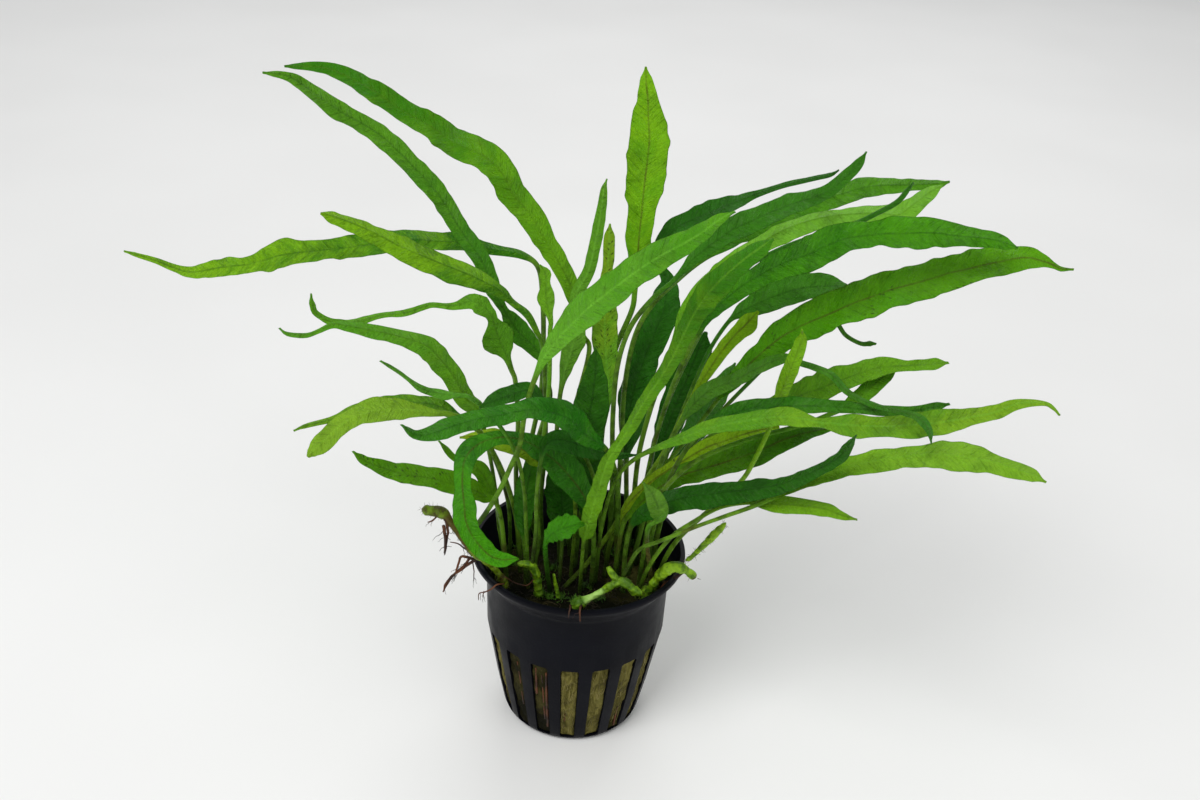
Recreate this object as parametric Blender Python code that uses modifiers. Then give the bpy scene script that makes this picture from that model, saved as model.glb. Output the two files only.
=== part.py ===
"""A narrow leaf java fern growing in a slotted plastic net pot.

The model is in metres with +Z up. The origin is the centre of the pot's base.
Sizes in this file are in millimetres and MM turns them into metres.
"""
import math

import bmesh
import bpy
import numpy as np

MM = 0.001
GAP = 0.3

# Net pot
RIM_R = 26.0
POT_H = 48.0
RIM_BAND_Z = 42.0
NECK_R = 22.4
SLOT_TOP_Z = 26.8
SLOT_LOW_Z = 1.4
SLOT_TOP_R = 22.1
FOOT_R = 16.9
WALL = 1.1
LIP = 1.3
FLOOR = 1.6
SLOTS = 18
SLOT_PITCH = 2.0 * math.pi / SLOTS
SLOT_TURN = math.radians(-3.0)
SLOT_HALF_ANGLE = math.radians(5.8)
FLOOR_SLOTS = 6

# Rock wool
WOOL_TOP_Z = 38.0
WOOL_R = 20.7

# Leaf blades
RIB_THICK = 0.95
STALK_THICK = 1.3
STATION = 6.0
MIN_STATIONS = 9
MAX_STATIONS = 20
FLATTEN = 0.5
MAX_ROLL = math.radians(34.0)

# The leaf routes below are read on the upright plane y = 0 as seen from this point.
# A point at another depth slides along its line of sight through this point.
EYE = np.array([-7.0, -268.0, 243.0])

# Clearing of leaves that cross
CLEAR = 0.55
ROUNDS = 160

BRIGHT = "leaf_bright_green"
MID = "leaf_mid_green"
DARK = "leaf_dark_green"
PALE = "leaf_pale_green"
YELLOW = "leaf_yellow_green"

COLOURS = {
    "net_pot_black": ((0.018, 0.020, 0.024), 0.42),
    "rock_wool": ((0.150, 0.120, 0.045), 0.95),
    "rhizome_brown": ((0.090, 0.075, 0.030), 0.70),
    "rhizome_green": ((0.200, 0.260, 0.050), 0.55),
    "root_dark": ((0.040, 0.018, 0.012), 0.75),
    BRIGHT: ((0.090, 0.270, 0.018), 0.38),
    MID: ((0.062, 0.195, 0.016), 0.40),
    DARK: ((0.030, 0.115, 0.012), 0.40),
    PALE: ((0.120, 0.310, 0.050), 0.36),
    YELLOW: ((0.170, 0.340, 0.018), 0.42),
}

# Each leaf: name, colour, depth of its tip, bend, foot, route.
# Bend over 1 keeps the lower part upright and lets the tip lean.
# The foot is x, y on the rock wool, or x, y, z on a rhizome.
# The route runs from tip to stalk as x, z, width.
LEAVES = [
    ("leaf_left_top_long", BRIGHT, 42, 1.6, (-2.0, 9.5), [
        (-64, 163, .8), (-57, 163, 2), (-53, 162, 3), (-47, 159, 4), (-40, 154.5, 4.6),
        (-34.5, 151.5, 5.5), (-30, 148.5, 6), (-24, 146, 6), (-20, 142, 6), (-18, 138, 6),
        (-14.5, 134, 5.5), (-11, 128, 4.5), (-7, 121.5, 4), (-4.4, 116, 3.5), (-1.8, 106, 1.6),
        (-0.1, 101.3, 1.5), (-3, 85, 1.4), (-5.5, 68.8, 1.4), (-4.5, 60, 1.4), (-3, 53, 1.4)]),
    ("leaf_left_top_short", MID, 18, 1.5, (-9.5, 9.5), [
        (-68.5, 161.5, .8), (-64, 161, 1.5), (-61, 159.5, 2.5), (-54, 154.5, 3.5), (-45.7, 149.7, 4.2),
        (-39, 143.3, 4.2), (-33.5, 137, 4.2), (-29, 129.5, 4.1), (-24.4, 122.4, 4), (-22, 116, 3.5),
        (-19.5, 111, 1.9), (-18.4, 109.1, 3.5), (-16.3, 105.8, 5), (-14, 103.5, 4.5), (-10.7, 99.3, 2.6),
        (-9.2, 93.3, 1.5), (-8.6, 88, 1.4), (-11.5, 75, 1.4), (-13, 64, 1.4), (-12, 55.6, 1.4)]),
    ("leaf_left_far", MID, 36, 1.5, (-12.5, 13.0), [
        (-101, 121, .6), (-94.5, 119, 1.2), (-90, 117.2, 1.8), (-86.6, 116.7, 2.8), (-79.3, 118.3, 4),
        (-75.5, 118.9, 3.2), (-71.5, 120, 4.3), (-67.6, 121.5, 6.7), (-63.7, 122.3, 5), (-56, 123.5, 4.5),
        (-48, 125, 5), (-40, 126.5, 4.3), (-34, 126.4, 4), (-29, 126.4, 3.5), (-22, 125.1, 2.7),
        (-15.8, 124.2, 2.4), (-12.1, 121.5, 1.5), (-10.9, 114, 1.4), (-10.4, 103, 1.4), (-10.6, 90, 1.4),
        (-12.5, 77, 1.4), (-13.5, 66, 1.4)]),
    ("leaf_left_dark", DARK, 0, 1.4, (-6.8, 3.6), [
        (-58.5, 131.8, .8), (-57.3, 131.5, 2.5), (-50, 129, 3.5), (-43.2, 125.6, 4.5), (-38.6, 123.5, 5),
        (-29.5, 119.8, 5.5), (-25, 118, 4.6), (-20.4, 115.5, 3), (-17.3, 112.6, 2), (-14.2, 110, 2.2),
        (-12, 105.9, 2), (-10.6, 102, 1.5), (-9.6, 90, 1.4), (-9.1, 76, 1.4), (-9.7, 61.4, 1.4),
        (-9.3, 53.2, 1.4), (-8.3, 44.8, 1.4)]),
    ("leaf_left_small_upright", MID, 10, 1.2, (-10.0, -1.7), [
        (-11.8, 122.1, 1), (-10.7, 120.4, 3), (-10.4, 118, 1.9), (-10.2, 114.7, 4), (-9.7, 111.7, 2.8),
        (-8.9, 108.4, 1.8), (-9, 105.4, 1.3), (-8.8, 92, 1.3), (-9.6, 78, 1.3), (-10.7, 62.6, 1.3),
        (-9.9, 49, 1.4), (-10.5, 42.6, 1.4)]),
    ("leaf_left_thin_wavy", MID, -10, 1.3, (-15.0, 9.0), [
        (-61.5, 112.7, .8), (-61.5, 110.3, 1.2), (-60.6, 108, 1.1), (-57, 105.9, 1.2), (-51.2, 106.4, 1.5),
        (-46.2, 108.2, 1.2), (-40.9, 109, 1.2), (-35.6, 111.2, 1.1), (-30.6, 111.2, 1.3), (-26.4, 112.6, 3),
        (-24.6, 111.7, 3.5), (-22.5, 110, 2.5), (-21.8, 108.2, 1.9), (-21.2, 105.9, 5.8), (-20, 102.7, 5.2),
        (-18.7, 99.6, 2.6), (-17.4, 95.9, 1.8), (-16.4, 92.6, 1.5), (-15.6, 82, 1.4), (-15.8, 68, 1.4)]),
    ("leaf_left_low_behind", MID, -18, 1.2, (-17.0, 6.0), [
        (-67.5, 77.4, .7), (-64.8, 78.7, 1), (-57.9, 81, 1.6), (-54.4, 82.8, 2.5), (-49, 84.8, 3),
        (-44, 86, 3), (-36, 86, 3.5), (-32, 84.5, 3), (-29, 83, 2), (-25.5, 80, 1.4), (-21, 72, 1.4),
        (-18, 62, 1.4), (-17, 54, 1.4)]),
    ("leaf_left_low_pale", PALE, -34, 1.2, (-14.2, 1.5), [
        (-64.6, 70.4, 1), (-63.8, 71.5, 2.5), (-60.9, 74.7, 3.6), (-57.4, 78.5, 3.4), (-53.6, 81.5, 3.3),
        (-49, 83.6, 4.5), (-44.4, 84.2, 4), (-39.3, 84, 2.6), (-34.1, 83.7, 1.7), (-30.8, 83.5, 1.4),
        (-25.5, 80.5, 1.4), (-20.5, 72, 1.4), (-17, 62, 1.4), (-15, 52, 1.4)]),
    ("leaf_left_arch", BRIGHT, -15, 1.2, (-17.9, 2.8), [
        (-68.9, 104, .7), (-67.3, 102.7, 1), (-63.2, 102.5, 1), (-60.5, 103.6, .9), (-57, 105.4, 1.5),
        (-53.9, 105.2, 2.4), (-48, 104.2, 3.6), (-44.5, 103.6, 3.5), (-37.4, 101.5, 4.6), (-34.6, 99.2, 5.4),
        (-32.4, 96.4, 5.2), (-30.6, 93.7, 4.6), (-27.7, 87.9, 4.2), (-25.1, 85.3, 3.5), (-23.5, 80, 2),
        (-22.5, 75.1, 1.5), (-21.4, 68.9, 1.4), (-20.2, 60, 1.4), (-19.6, 52.7, 1.4)]),
    ("leaf_left_hooked", PALE, -28, 1.6, (-12.0, -4.8), [
        (-46.8, 96.8, .7), (-43, 94.3, .8), (-40.5, 92.2, .9), (-38.4, 90.3, 1.8), (-35.9, 89.3, 2.1),
        (-32.3, 88.7, 2.7), (-28.8, 88.7, 1.5), (-26.7, 88.2, 1.3), (-22, 84, 1.3), (-16.5, 75, 1.3),
        (-14, 65, 1.3), (-13, 52, 1.3)]),
    ("leaf_left_speckled", BRIGHT, -15, 1.1, (-17.2, -4.8), [
        (-54, 72.4, .9), (-52.5, 70.8, 2), (-50.2, 69.2, 2.6), (-43.4, 66.7, 4.7), (-36.2, 65.6, 5),
        (-32.7, 64.7, 5.4), (-30.5, 64, 5.4), (-25.7, 62.7, 4.5), (-22.9, 61, 3), (-20.3, 59.2, 1.6),
        (-18.8, 52, 1.4)]),
    ("leaf_left_short", MID, -5, 1.1, (-17.4, -0.8), [
        (-33.9, 76.2, 1), (-32.2, 73.8, 1.6), (-30.4, 71.6, 1.6), (-27.5, 70, 2.5), (-24.7, 68.5, 4),
        (-23.2, 66.4, 4), (-21.7, 62.8, 3), (-20.6, 60.4, 1.5), (-19.2, 53, 1.4)]),
    ("leaf_front_dark_arch", DARK, -46, 1.5, (9.9, 0.5), [
        (-42.4, 80.2, .8), (-39.6, 77.7, 2), (-35.9, 77.9, 3.3), (-32.2, 79.6, 4.5), (-24.7, 82.5, 4.8),
        (-17.4, 84.4, 4.5), (-12.7, 85.5, 5), (-8, 85, 5.6), (-4, 83.5, 6.5), (-0.5, 79.8, 5),
        (3, 77.3, 3), (5.4, 75.3, 1.6), (7.8, 69, 1.4), (8.9, 60, 1.4), (9, 50, 1.4)]),
    ("leaf_centre_dark_short", DARK, -26, 1.1, (4.8, 5.0), [
        (-24.5, 85.6, 1), (-22, 87, 3), (-18.9, 88.5, 4), (-15.9, 89.8, 4), (-13, 90.5, 3.4),
        (-9.5, 87.5, 2), (-4, 80, 1.4), (1, 72, 1.4), (4, 62, 1.4), (5, 52, 1.4)]),
    ("leaf_front_drooping", BRIGHT, -18, 0.8, (3.4, -4.2), [
        (-14.6, 43, 1), (-16, 42.8, 2.5), (-18.7, 42.5, 4), (-21.6, 43.5, 4.5), (-24.1, 46.3, 5),
        (-26.3, 49.8, 5), (-27.7, 54.1, 5.4), (-28, 58.4, 5.8), (-28.4, 63, 4.2), (-28.4, 67.2, 4.2),
        (-27.8, 71.3, 5.2), (-25.8, 74.6, 5.2), (-22.6, 76.9, 4), (-18.6, 77.8, 3.2), (-14.5, 77.2, 4),
        (-10.6, 75.1, 6), (-6.8, 71.9, 7.5), (-3.4, 68, 7.5), (-0.4, 63.8, 5.5), (1.8, 59.5, 3),
        (3, 54, 1.5), (3.6, 48, 1.4)]),
    ("leaf_centre_low_dark", DARK, -20, 1.0, (-11.0, -10.6, 50.7), [
        (12.4, 74.6, .9), (8.2, 74.1, 1.8), (4.2, 74.7, 3), (0.4, 75.8, 4.4), (-3.4, 77.3, 5.4),
        (-6.6, 77.8, 5), (-8.8, 76.4, 3.4), (-9.8, 73.4, 2), (-10.4, 68, 1.5), (-10.8, 60, 1.4),
        (-10.6, 52, 1.4)]),
    ("leaf_centre_low_left", MID, -3, 1.0, (-12.6, -3.2), [
        (-11.4, 76, 1.2), (-11.8, 72.5, 3), (-12.5, 68, 4.6), (-13.2, 63, 5.6), (-13.8, 58, 5.2),
        (-13.8, 53.5, 3.6), (-13.4, 49, 1.8), (-13, 44, 1.4)]),
    ("leaf_centre_low_middle", DARK, 2, 1.0, (-4.4, -1.6), [
        (-5.8, 74, 2), (-5.6, 70.5, 5), (-5.2, 66, 7), (-4.8, 61, 7.4), (-4.5, 56.5, 6), (-4.3, 52.5, 3.4),
        (-4.2, 48.5, 1.5)]),
    ("leaf_centre_yellow", YELLOW, -5, 1.0, (-1.6, 0.4), [
        (-29.1, 77.4, 1), (-24.7, 77.8, 2.5), (-20.6, 77.2, 5), (-15.8, 75.2, 4.5), (-13.2, 73.8, 4),
        (-11.2, 71.7, 3), (-7.5, 70, 1.5), (-3.5, 67, 1.4), (-1.6, 61, 1.4), (-1.3, 52, 1.4)]),
    ("leaf_centre_upright_slim", MID, 20, 1.3, (-4.6, 6.6), [
        (1.7, 142.4, .8), (1.2, 140, 1.5), (0.9, 135.4, 2.3), (0.4, 130.8, 2.6), (-1, 121.5, 2.6),
        (-3.3, 116, 2.8), (-3.6, 112, 3.5), (-3.5, 108, 4.5), (-3.6, 104, 5), (-4.4, 100, 4),
        (-5.2, 96.6, 3), (-6.2, 89.5, 1.6), (-6.6, 78, 1.4), (-6.2, 64, 1.4), (-5, 50, 1.4)]),
    ("leaf_centre_upright_spotted", YELLOW, 28, 1.3, (-0.6, 4.6), [
        (2.9, 132.4, 1), (2.9, 129.5, 2.4), (3, 125, 2.5), (2.9, 121, 2.6), (2.9, 116, 4),
        (2.9, 111.2, 5.5), (3.2, 106, 5.8), (3.7, 101, 5.5), (4.2, 96.9, 4.5), (4.7, 92.7, 3.5),
        (4.6, 86, 1.8), (3, 76, 1.4), (0.5, 62, 1.4), (-0.4, 50, 1.4)]),
    ("leaf_centre_tall", YELLOW, 46, 1.4, (3.0, 11.0), [
        (8.2, 166.5, .9), (8.5, 163.3, 3), (9.1, 159.6, 4.7), (9.5, 155.5, 7), (10, 150.6, 8.7),
        (9.6, 140.6, 8), (9.5, 135.4, 5.6), (9.3, 129.8, 5.5), (9.3, 124.8, 4.5), (9.2, 117, 1.5),
        (8.8, 112, 1.4), (6, 103.2, 1.4), (5, 96, 1.4), (4, 82, 1.4), (3.8, 68, 1.4), (3.2, 56, 1.4)]),
    ("leaf_front_big_pale", PALE, -34, 1.0, (-26.6, -8.4, 55.7), [
        (29.2, 136.4, .8), (25.9, 134.1, 2.5), (22.3, 130.8, 4), (18.5, 128.1, 5.5), (12.2, 123.8, 6.5),
        (6, 118.4, 7), (-0.8, 112, 7), (-3.7, 108.4, 6), (-6.2, 105.4, 5), (-8.5, 101.8, 3.6),
        (-10.5, 98.5, 2.6), (-12.8, 91.2, 1.6), (-14.2, 84, 1.5), (-15.1, 76, 1.5), (-17.2, 69.6, 1.5),
        (-19.4, 63.6, 1.5), (-22, 58, 1.5), (-24.8, 53, 1.5)]),
    ("leaf_right_upper_dark", DARK, 26, 1.3, (7.2, 9.0), [
        (55.2, 151, .8), (54.2, 148.7, 2), (52.4, 146, 2.5), (47.7, 141.4, 3), (39.9, 138, 4.6),
        (31.9, 133.7, 5), (28.2, 131.4, 4.5), (22, 125.7, 3), (20, 123.1, 2.5), (16.9, 119, 1.5),
        (13.4, 115.4, 1.4), (8.8, 108, 1.4), (6.5, 98, 1.4), (6.2, 84, 1.4), (7, 68, 1.4), (7.2, 54, 1.4)]),
    ("leaf_right_upper_back", DARK, 56, 1.5, (10.6, 13.5), [
        (50, 146.7, .7), (47.9, 145.4, 1), (40, 143.1, 1.2), (33.8, 140.7, 1.6), (26, 136.9, 4.5),
        (19.3, 133.4, 4), (16.6, 131.5, 4.5), (14.2, 127.6, 3.5), (14.5, 123, 2.2), (16.3, 119.6, 3.5),
        (16.1, 115.9, 6), (15.8, 112.2, 7), (14.4, 107.2, 7), (13, 102.4, 6.6), (11.6, 96.6, 6.8),
        (10.4, 90.6, 6.4), (9.8, 84.6, 5), (9.8, 78, 3), (10.2, 70, 1.5), (10.8, 58, 1.4)]),
    ("leaf_right_light_arch", BRIGHT, 10, 1.2, (12.4, 9.2), [
        (72.3, 144.4, 1), (71.1, 143.6, 2.4), (68.9, 141.7, 3.4), (66.5, 139.3, 4.5), (63.9, 137.3, 5),
        (58, 137.4, 4.5), (47.5, 135.7, 4), (39.7, 132.3, 4.5), (33.9, 127.8, 4.5), (29, 123.2, 5),
        (24.6, 118.2, 5), (21, 112, 4), (19.4, 107, 2.4), (17, 97, 1.4), (14.5, 86, 1.4), (12.8, 74, 1.4),
        (12.4, 60, 1.4)]),
    ("leaf_right_upper_slim", MID, 44, 1.4, (7.6, 15.6), [
        (73.6, 145.3, .8), (70.9, 144.6, 1.8), (64.1, 144, 2.5), (57, 143.3, 3.7), (50.4, 141, 4),
        (43.9, 138.1, 4), (37.6, 135.3, 4), (31.5, 131.6, 3.5), (28.4, 129.3, 3), (23.3, 125.1, 2),
        (18.5, 120.2, 1.5), (13, 113.3, 1.4), (9.8, 105, 1.4), (8.4, 92, 1.4), (8.6, 76, 1.4), (8.4, 60, 1.4)]),
    ("leaf_right_thin_dark", DARK, -2, 1.2, (14.6, 12.6), [
        (66, 144.7, .9), (64.9, 142.6, 1.8), (63.2, 140.1, 2), (59, 137.2, 1.6), (54, 134.3, 2),
        (46.3, 131.3, 2), (39.5, 128, 2), (33, 123.5, 1.6), (28, 116, 1.4), (24, 106, 1.4), (20, 94, 1.4),
        (17, 82, 1.4), (15.5, 68, 1.4)]),
    ("leaf_right_broad_arch", BRIGHT, -14, 1.0, (14.8, 6.6), [
        (91, 130.9, .8), (89.9, 131.3, 1.8), (85.7, 132.4, 3.5), (78.4, 133, 4.5), (71.1, 133.4, 6),
        (64, 132.9, 6.5), (60.5, 132.5, 5.2), (53.5, 131.2, 6), (47, 127.7, 8), (40.6, 124.6, 6),
        (34.3, 120.5, 5), (29.4, 115.8, 4), (25.4, 110.6, 2.6), (22, 102, 1.4), (19, 92, 1.4),
        (16.6, 80, 1.4), (15, 66, 1.4), (14.6, 54, 1.4)]),
    ("leaf_front_long_strip", BRIGHT, -20, 0.5, (0.6, -6.0), [
        (38, 130.6, 1.2), (36.6, 129.2, 3), (33.7, 126.7, 4), (30.6, 123.6, 5), (26, 117.9, 6),
        (22.8, 112, 5.2), (20.6, 106, 4.4), (18.5, 100, 3.8), (16.3, 95, 3.6), (13.7, 90, 3.2),
        (11.5, 85, 3.2), (9.4, 80, 2.9), (7.2, 75.6, 2.6), (5.4, 71.3, 3.5), (3.7, 63.2, 4),
        (2.4, 57, 3.8), (1.4, 51.2, 3.4), (1, 48.4, 1.6)]),
    ("leaf_right_largest", BRIGHT, -8, 1.0, (10.4, 5.6), [
        (104.3, 126.6, .8), (101.6, 126.5, 1), (99.7, 127.2, 1.3), (96.8, 128.1, 3), (92, 128.5, 5.8),
        (81.5, 125.6, 7), (71.3, 121.9, 8.3), (60.9, 117.7, 8.8), (51.6, 112.6, 8.2), (44.2, 108.2, 6.8),
        (38.7, 102.7, 5.2), (34, 96.7, 3.8), (31.2, 93, 3), (29.2, 89, 1.6), (24.5, 80.5, 1.4),
        (18.8, 71, 1.4), (13.6, 61, 1.4), (11.5, 52, 1.4)]),
    ("leaf_right_round_tip", PALE, 12, 1.1, (15.6, 3.4), [
        (55.6, 120.3, 1.5), (54.6, 120.2, 3), (51.2, 119.9, 5), (46.3, 119.2, 5.7), (41.3, 117.5, 6.5),
        (36.6, 115, 5), (32.7, 112.6, 3), (30, 109.6, 1.6), (26.5, 102, 1.4), (23, 90, 1.4),
        (20, 78, 1.4), (18, 64, 1.4)]),
    ("leaf_right_low_long", BRIGHT, -35, 1.0, (4.4, -2.2), [
        (109.4, 89.9, .7), (107.6, 91.6, .8), (105.1, 92.8, 1), (99.3, 92.4, 2.4), (94, 89.7, 3.6),
        (86.1, 87.5, 5), (78, 85.7, 5.8), (69.7, 85, 5), (61.3, 84.8, 5), (57, 85.1, 3.4),
        (53.7, 85.3, 2.2), (48.8, 86.2, 4), (43.4, 86.2, 4.5), (35.6, 84.5, 4), (28.6, 82.6, 3.6),
        (21.8, 79.1, 2.8), (16.4, 76.4, 2.2), (12, 73.4, 1.8), (8.6, 69, 1.5), (6.4, 62, 1.4),
        (5, 51, 1.4)]),
    ("leaf_right_dark_arch", DARK, -30, 1.0, (17.0, 1.4), [
        (83.4, 91.7, .9), (80.9, 90.8, 2), (74.1, 89.1, 2.2), (65.6, 89.1, 2.5), (57.3, 89.5, 3),
        (49.1, 89.4, 3.8), (41.3, 88.6, 4.2), (37.7, 88.2, 4.5), (31.9, 85.6, 3.5), (27.6, 82.4, 1.8),
        (23.5, 76, 1.4), (20, 66, 1.4), (17.8, 54, 1.4)]),
    ("leaf_right_thin_crossing", PALE, -45, 3.0, (12.8, 2.6), [
        (81, 81.1, .7), (80, 83.9, 1.5), (78.3, 86.3, 2.2), (76, 88.1, 1.8), (72.4, 89, 1.3),
        (65.4, 90.7, 1.4), (59.4, 93.7, 1.6), (54.7, 98.2, 1.6), (47.6, 100.7, 1.4), (44, 101.6, 2),
        (38.4, 98.9, 3), (33.5, 95.5, 3.5), (28.1, 92.6, 4), (24.3, 88.3, 3), (21.4, 82.4, 1.6),
        (18.6, 74, 1.4), (16, 62, 1.4), (14.4, 50, 1.4)]),
    ("leaf_right_middle_arch", MID, -20, 1.6, (18.6, 4.8), [
        (81.2, 102.4, .8), (78.5, 101.8, 2.6), (72.1, 101, 2.5), (65.6, 100.2, 4.5), (59.5, 97.6, 5.5),
        (53.3, 94.3, 6.5), (50.2, 92.8, 6.5), (46.4, 90.8, 6), (42.5, 89, 4), (36, 86, 2),
        (27, 78, 1.4), (22, 68, 1.4), (19.4, 56, 1.4)]),
    ("leaf_right_middle_short", MID, -12, 1.0, (14.8, -4.4), [
        (69.4, 101, 1), (68.7, 99.4, 2.5), (65.8, 96.6, 4), (63.7, 93.9, 4), (61.5, 91.7, 3.5),
        (57.5, 88.5, 2), (50, 84.5, 1.4), (38, 80, 1.4), (27, 74, 1.4), (20, 66, 1.4), (17, 58, 1.4)]),
    ("leaf_right_upright_narrow", YELLOW, -20, 1.3, (18.4, -3.6), [
        (47, 109.1, 1), (47.2, 106.2, 2.6), (45.5, 98.3, 3.9), (44.6, 94.2, 3.5), (44.1, 91.1, 3),
        (43.5, 86.4, 1.6), (42.4, 82, 1.4), (40, 74, 1.4), (37.4, 68, 1.4), (31, 60, 1.4), (23, 49, 1.4)]),
    ("leaf_right_low_front", BRIGHT, -46, 1.0, (10.4, -16.4, 52.3), [
        (110.3, 71.4, .8), (109.2, 71.9, 1.4), (105.4, 73.6, 3.5), (96.7, 76.2, 5), (92.3, 77.1, 6.4),
        (87.9, 77.6, 7.3), (83.7, 77.8, 7.2), (79.4, 77.5, 5.5), (71.1, 76, 5.2), (62.9, 73.4, 4.9),
        (54.9, 70, 4), (48.9, 66.8, 3), (42.1, 61.8, 2), (35, 58.2, 1.8), (29, 55.2, 1.5),
        (24, 52.4, 1.4), (19, 49.7, 1.4), (14.6, 47, 1.4)]),
    ("leaf_right_low_short", MID, -36, 1.0, (14.4, -7.6), [
        (66.8, 58.6, .9), (62.5, 59.6, 2), (58.6, 61.1, 3.2), (51, 61.9, 4.4), (47.3, 61.9, 4.4),
        (43.6, 62.3, 3), (39.9, 62.4, 2), (33.3, 60.6, 1.5), (27.4, 56.2, 1.4), (22, 51, 1.4),
        (17.4, 42, 1.4)]),
    ("leaf_right_low_dark", DARK, -44, 1.0, (11.2, -5.0), [
        (63, 82.2, .8), (61.4, 78.5, 2.5), (59.6, 75.6, 3), (53.6, 71.1, 3.2), (46.7, 67.6, 4),
        (39.5, 65.8, 5.2), (32.2, 64.4, 5.8), (24.9, 62.9, 5.6), (21, 61.6, 5.6), (17.2, 59.6, 5), (14, 57, 3.4),
        (12.2, 53.4, 1.8), (11.4, 46, 1.4)]),
    ("leaf_right_inner_arch", BRIGHT, -13, 1.0, (8.8, -2.4), [
        (57.8, 83.6, .8), (56.6, 83.5, 1.5), (53.1, 82.9, 3), (46.3, 80.1, 5.5), (39.5, 76.1, 6.5),
        (32.5, 73, 6), (25.5, 70.1, 5), (21.9, 68.2, 4.4), (19, 66, 4), (15.6, 62.6, 3.4), (12.4, 58.2, 2.4),
        (10.2, 53.4, 1.5)]),
    ("leaf_right_inner_yellow", YELLOW, -2, 1.0, (-2.6, -3.5), [
        (45, 83.6, 1.2), (43.4, 83.2, 3), (39.9, 82.3, 4), (36.4, 80.9, 4.5), (29.5, 77.7, 4),
        (26.1, 75.4, 3.5), (23.4, 73.2, 3.2), (20.2, 70.6, 3), (15.9, 66.6, 3), (11.6, 61, 2.6),
        (7.6, 52.6, 1.6), (2.4, 42.8, 1.4)]),
    ("leaf_right_yellow_slant", YELLOW, 5, 1.1, (6.8, 1.2), [
        (36.8, 113.2, 1.4), (35.6, 111.4, 3.6), (34.3, 109.6, 4.4), (32.9, 107.8, 3.5), (30.5, 104.2, 3.3),
        (27, 97.4, 2.8), (24.1, 90.4, 2), (21.2, 82.4, 1.4), (18.5, 75.1, 1.4), (14.7, 67, 1.4),
        (10.6, 58, 1.4), (7.6, 49, 1.4)]),
    ("leaf_centre_broad_back", DARK, 21, 1.0, (16.6, 9.4), [
        (25.8, 107.6, 2), (24.7, 103.9, 6.4), (23.4, 99.2, 8), (22.1, 93.9, 7.5), (20.6, 89, 7),
        (19.4, 84.1, 6.4), (18.4, 78.5, 5.2), (17.4, 72.5, 3.6), (16.7, 67, 1.8), (16.2, 60, 1.4)]),
    ("leaf_centre_round_dark", DARK, -1, 1.0, (1.8, 2.0), [
        (1.2, 102.4, .9), (1.4, 101, 2.4), (1.5, 98, 3.8), (1.5, 94, 6), (1.3, 90, 7.6), (0.9, 86, 8.4),
        (0.4, 80, 8.4), (0.2, 74, 8), (0.4, 68, 7), (0.8, 62, 5), (1.3, 57, 2.6), (1.7, 52, 1.4)]),
    ("leaf_small_pale_triangle", PALE, -22, 0.9, (17.2, -7.2), [
        (14.4, 67, .9), (15, 66, 1.6), (17.3, 62.6, 4.5), (18.7, 58.6, 4.4), (18.4, 55.9, 2.2),
        (16.4, 54, 1.4), (16.6, 49, 1.3), (17.4, 43.4, 1.3), (18.2, 38.6, 1.3)]),
    ("leaf_small_crinkled", BRIGHT, -18, 0.7, (-6.6, -7.2), [
        (1, 54, 2), (-1, 53.8, 4), (-3, 53, 5.6), (-5.2, 52, 5), (-7.4, 50, 3), (-8.2, 47.4, 1.6),
        (-7.8, 42, 1.4)]),
    ("leaf_right_thin_curl", MID, 4, 1.0, (18.2, 7.0), [
        (64.1, 106.4, .8), (62.9, 106.5, 2.5), (60.7, 106.3, 1.2), (57, 108.2, 1.1), (54, 111.5, 1.5),
        (50, 111, 2), (45, 106, 2), (38, 97, 1.4), (29, 84, 1.4), (22, 70, 1.4)]),
    ("leaf_back_centre", DARK, 58, 1.8, (5.6, 17.6), [
        (11.3, 105, 1), (11.6, 101, 4), (12.2, 94, 6), (12.4, 88, 5.6), (11.4, 80, 3), (9, 70, 1.4),
        (6.6, 60, 1.4)]),
    ("leaf_back_right", DARK, 52, 1.7, (10.9, 15.9), [
        (33, 100, 1), (31, 95, 4), (28, 88, 6), (24.6, 80, 5), (20, 71, 2.2), (15.5, 62, 1.4)]),
]

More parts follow.
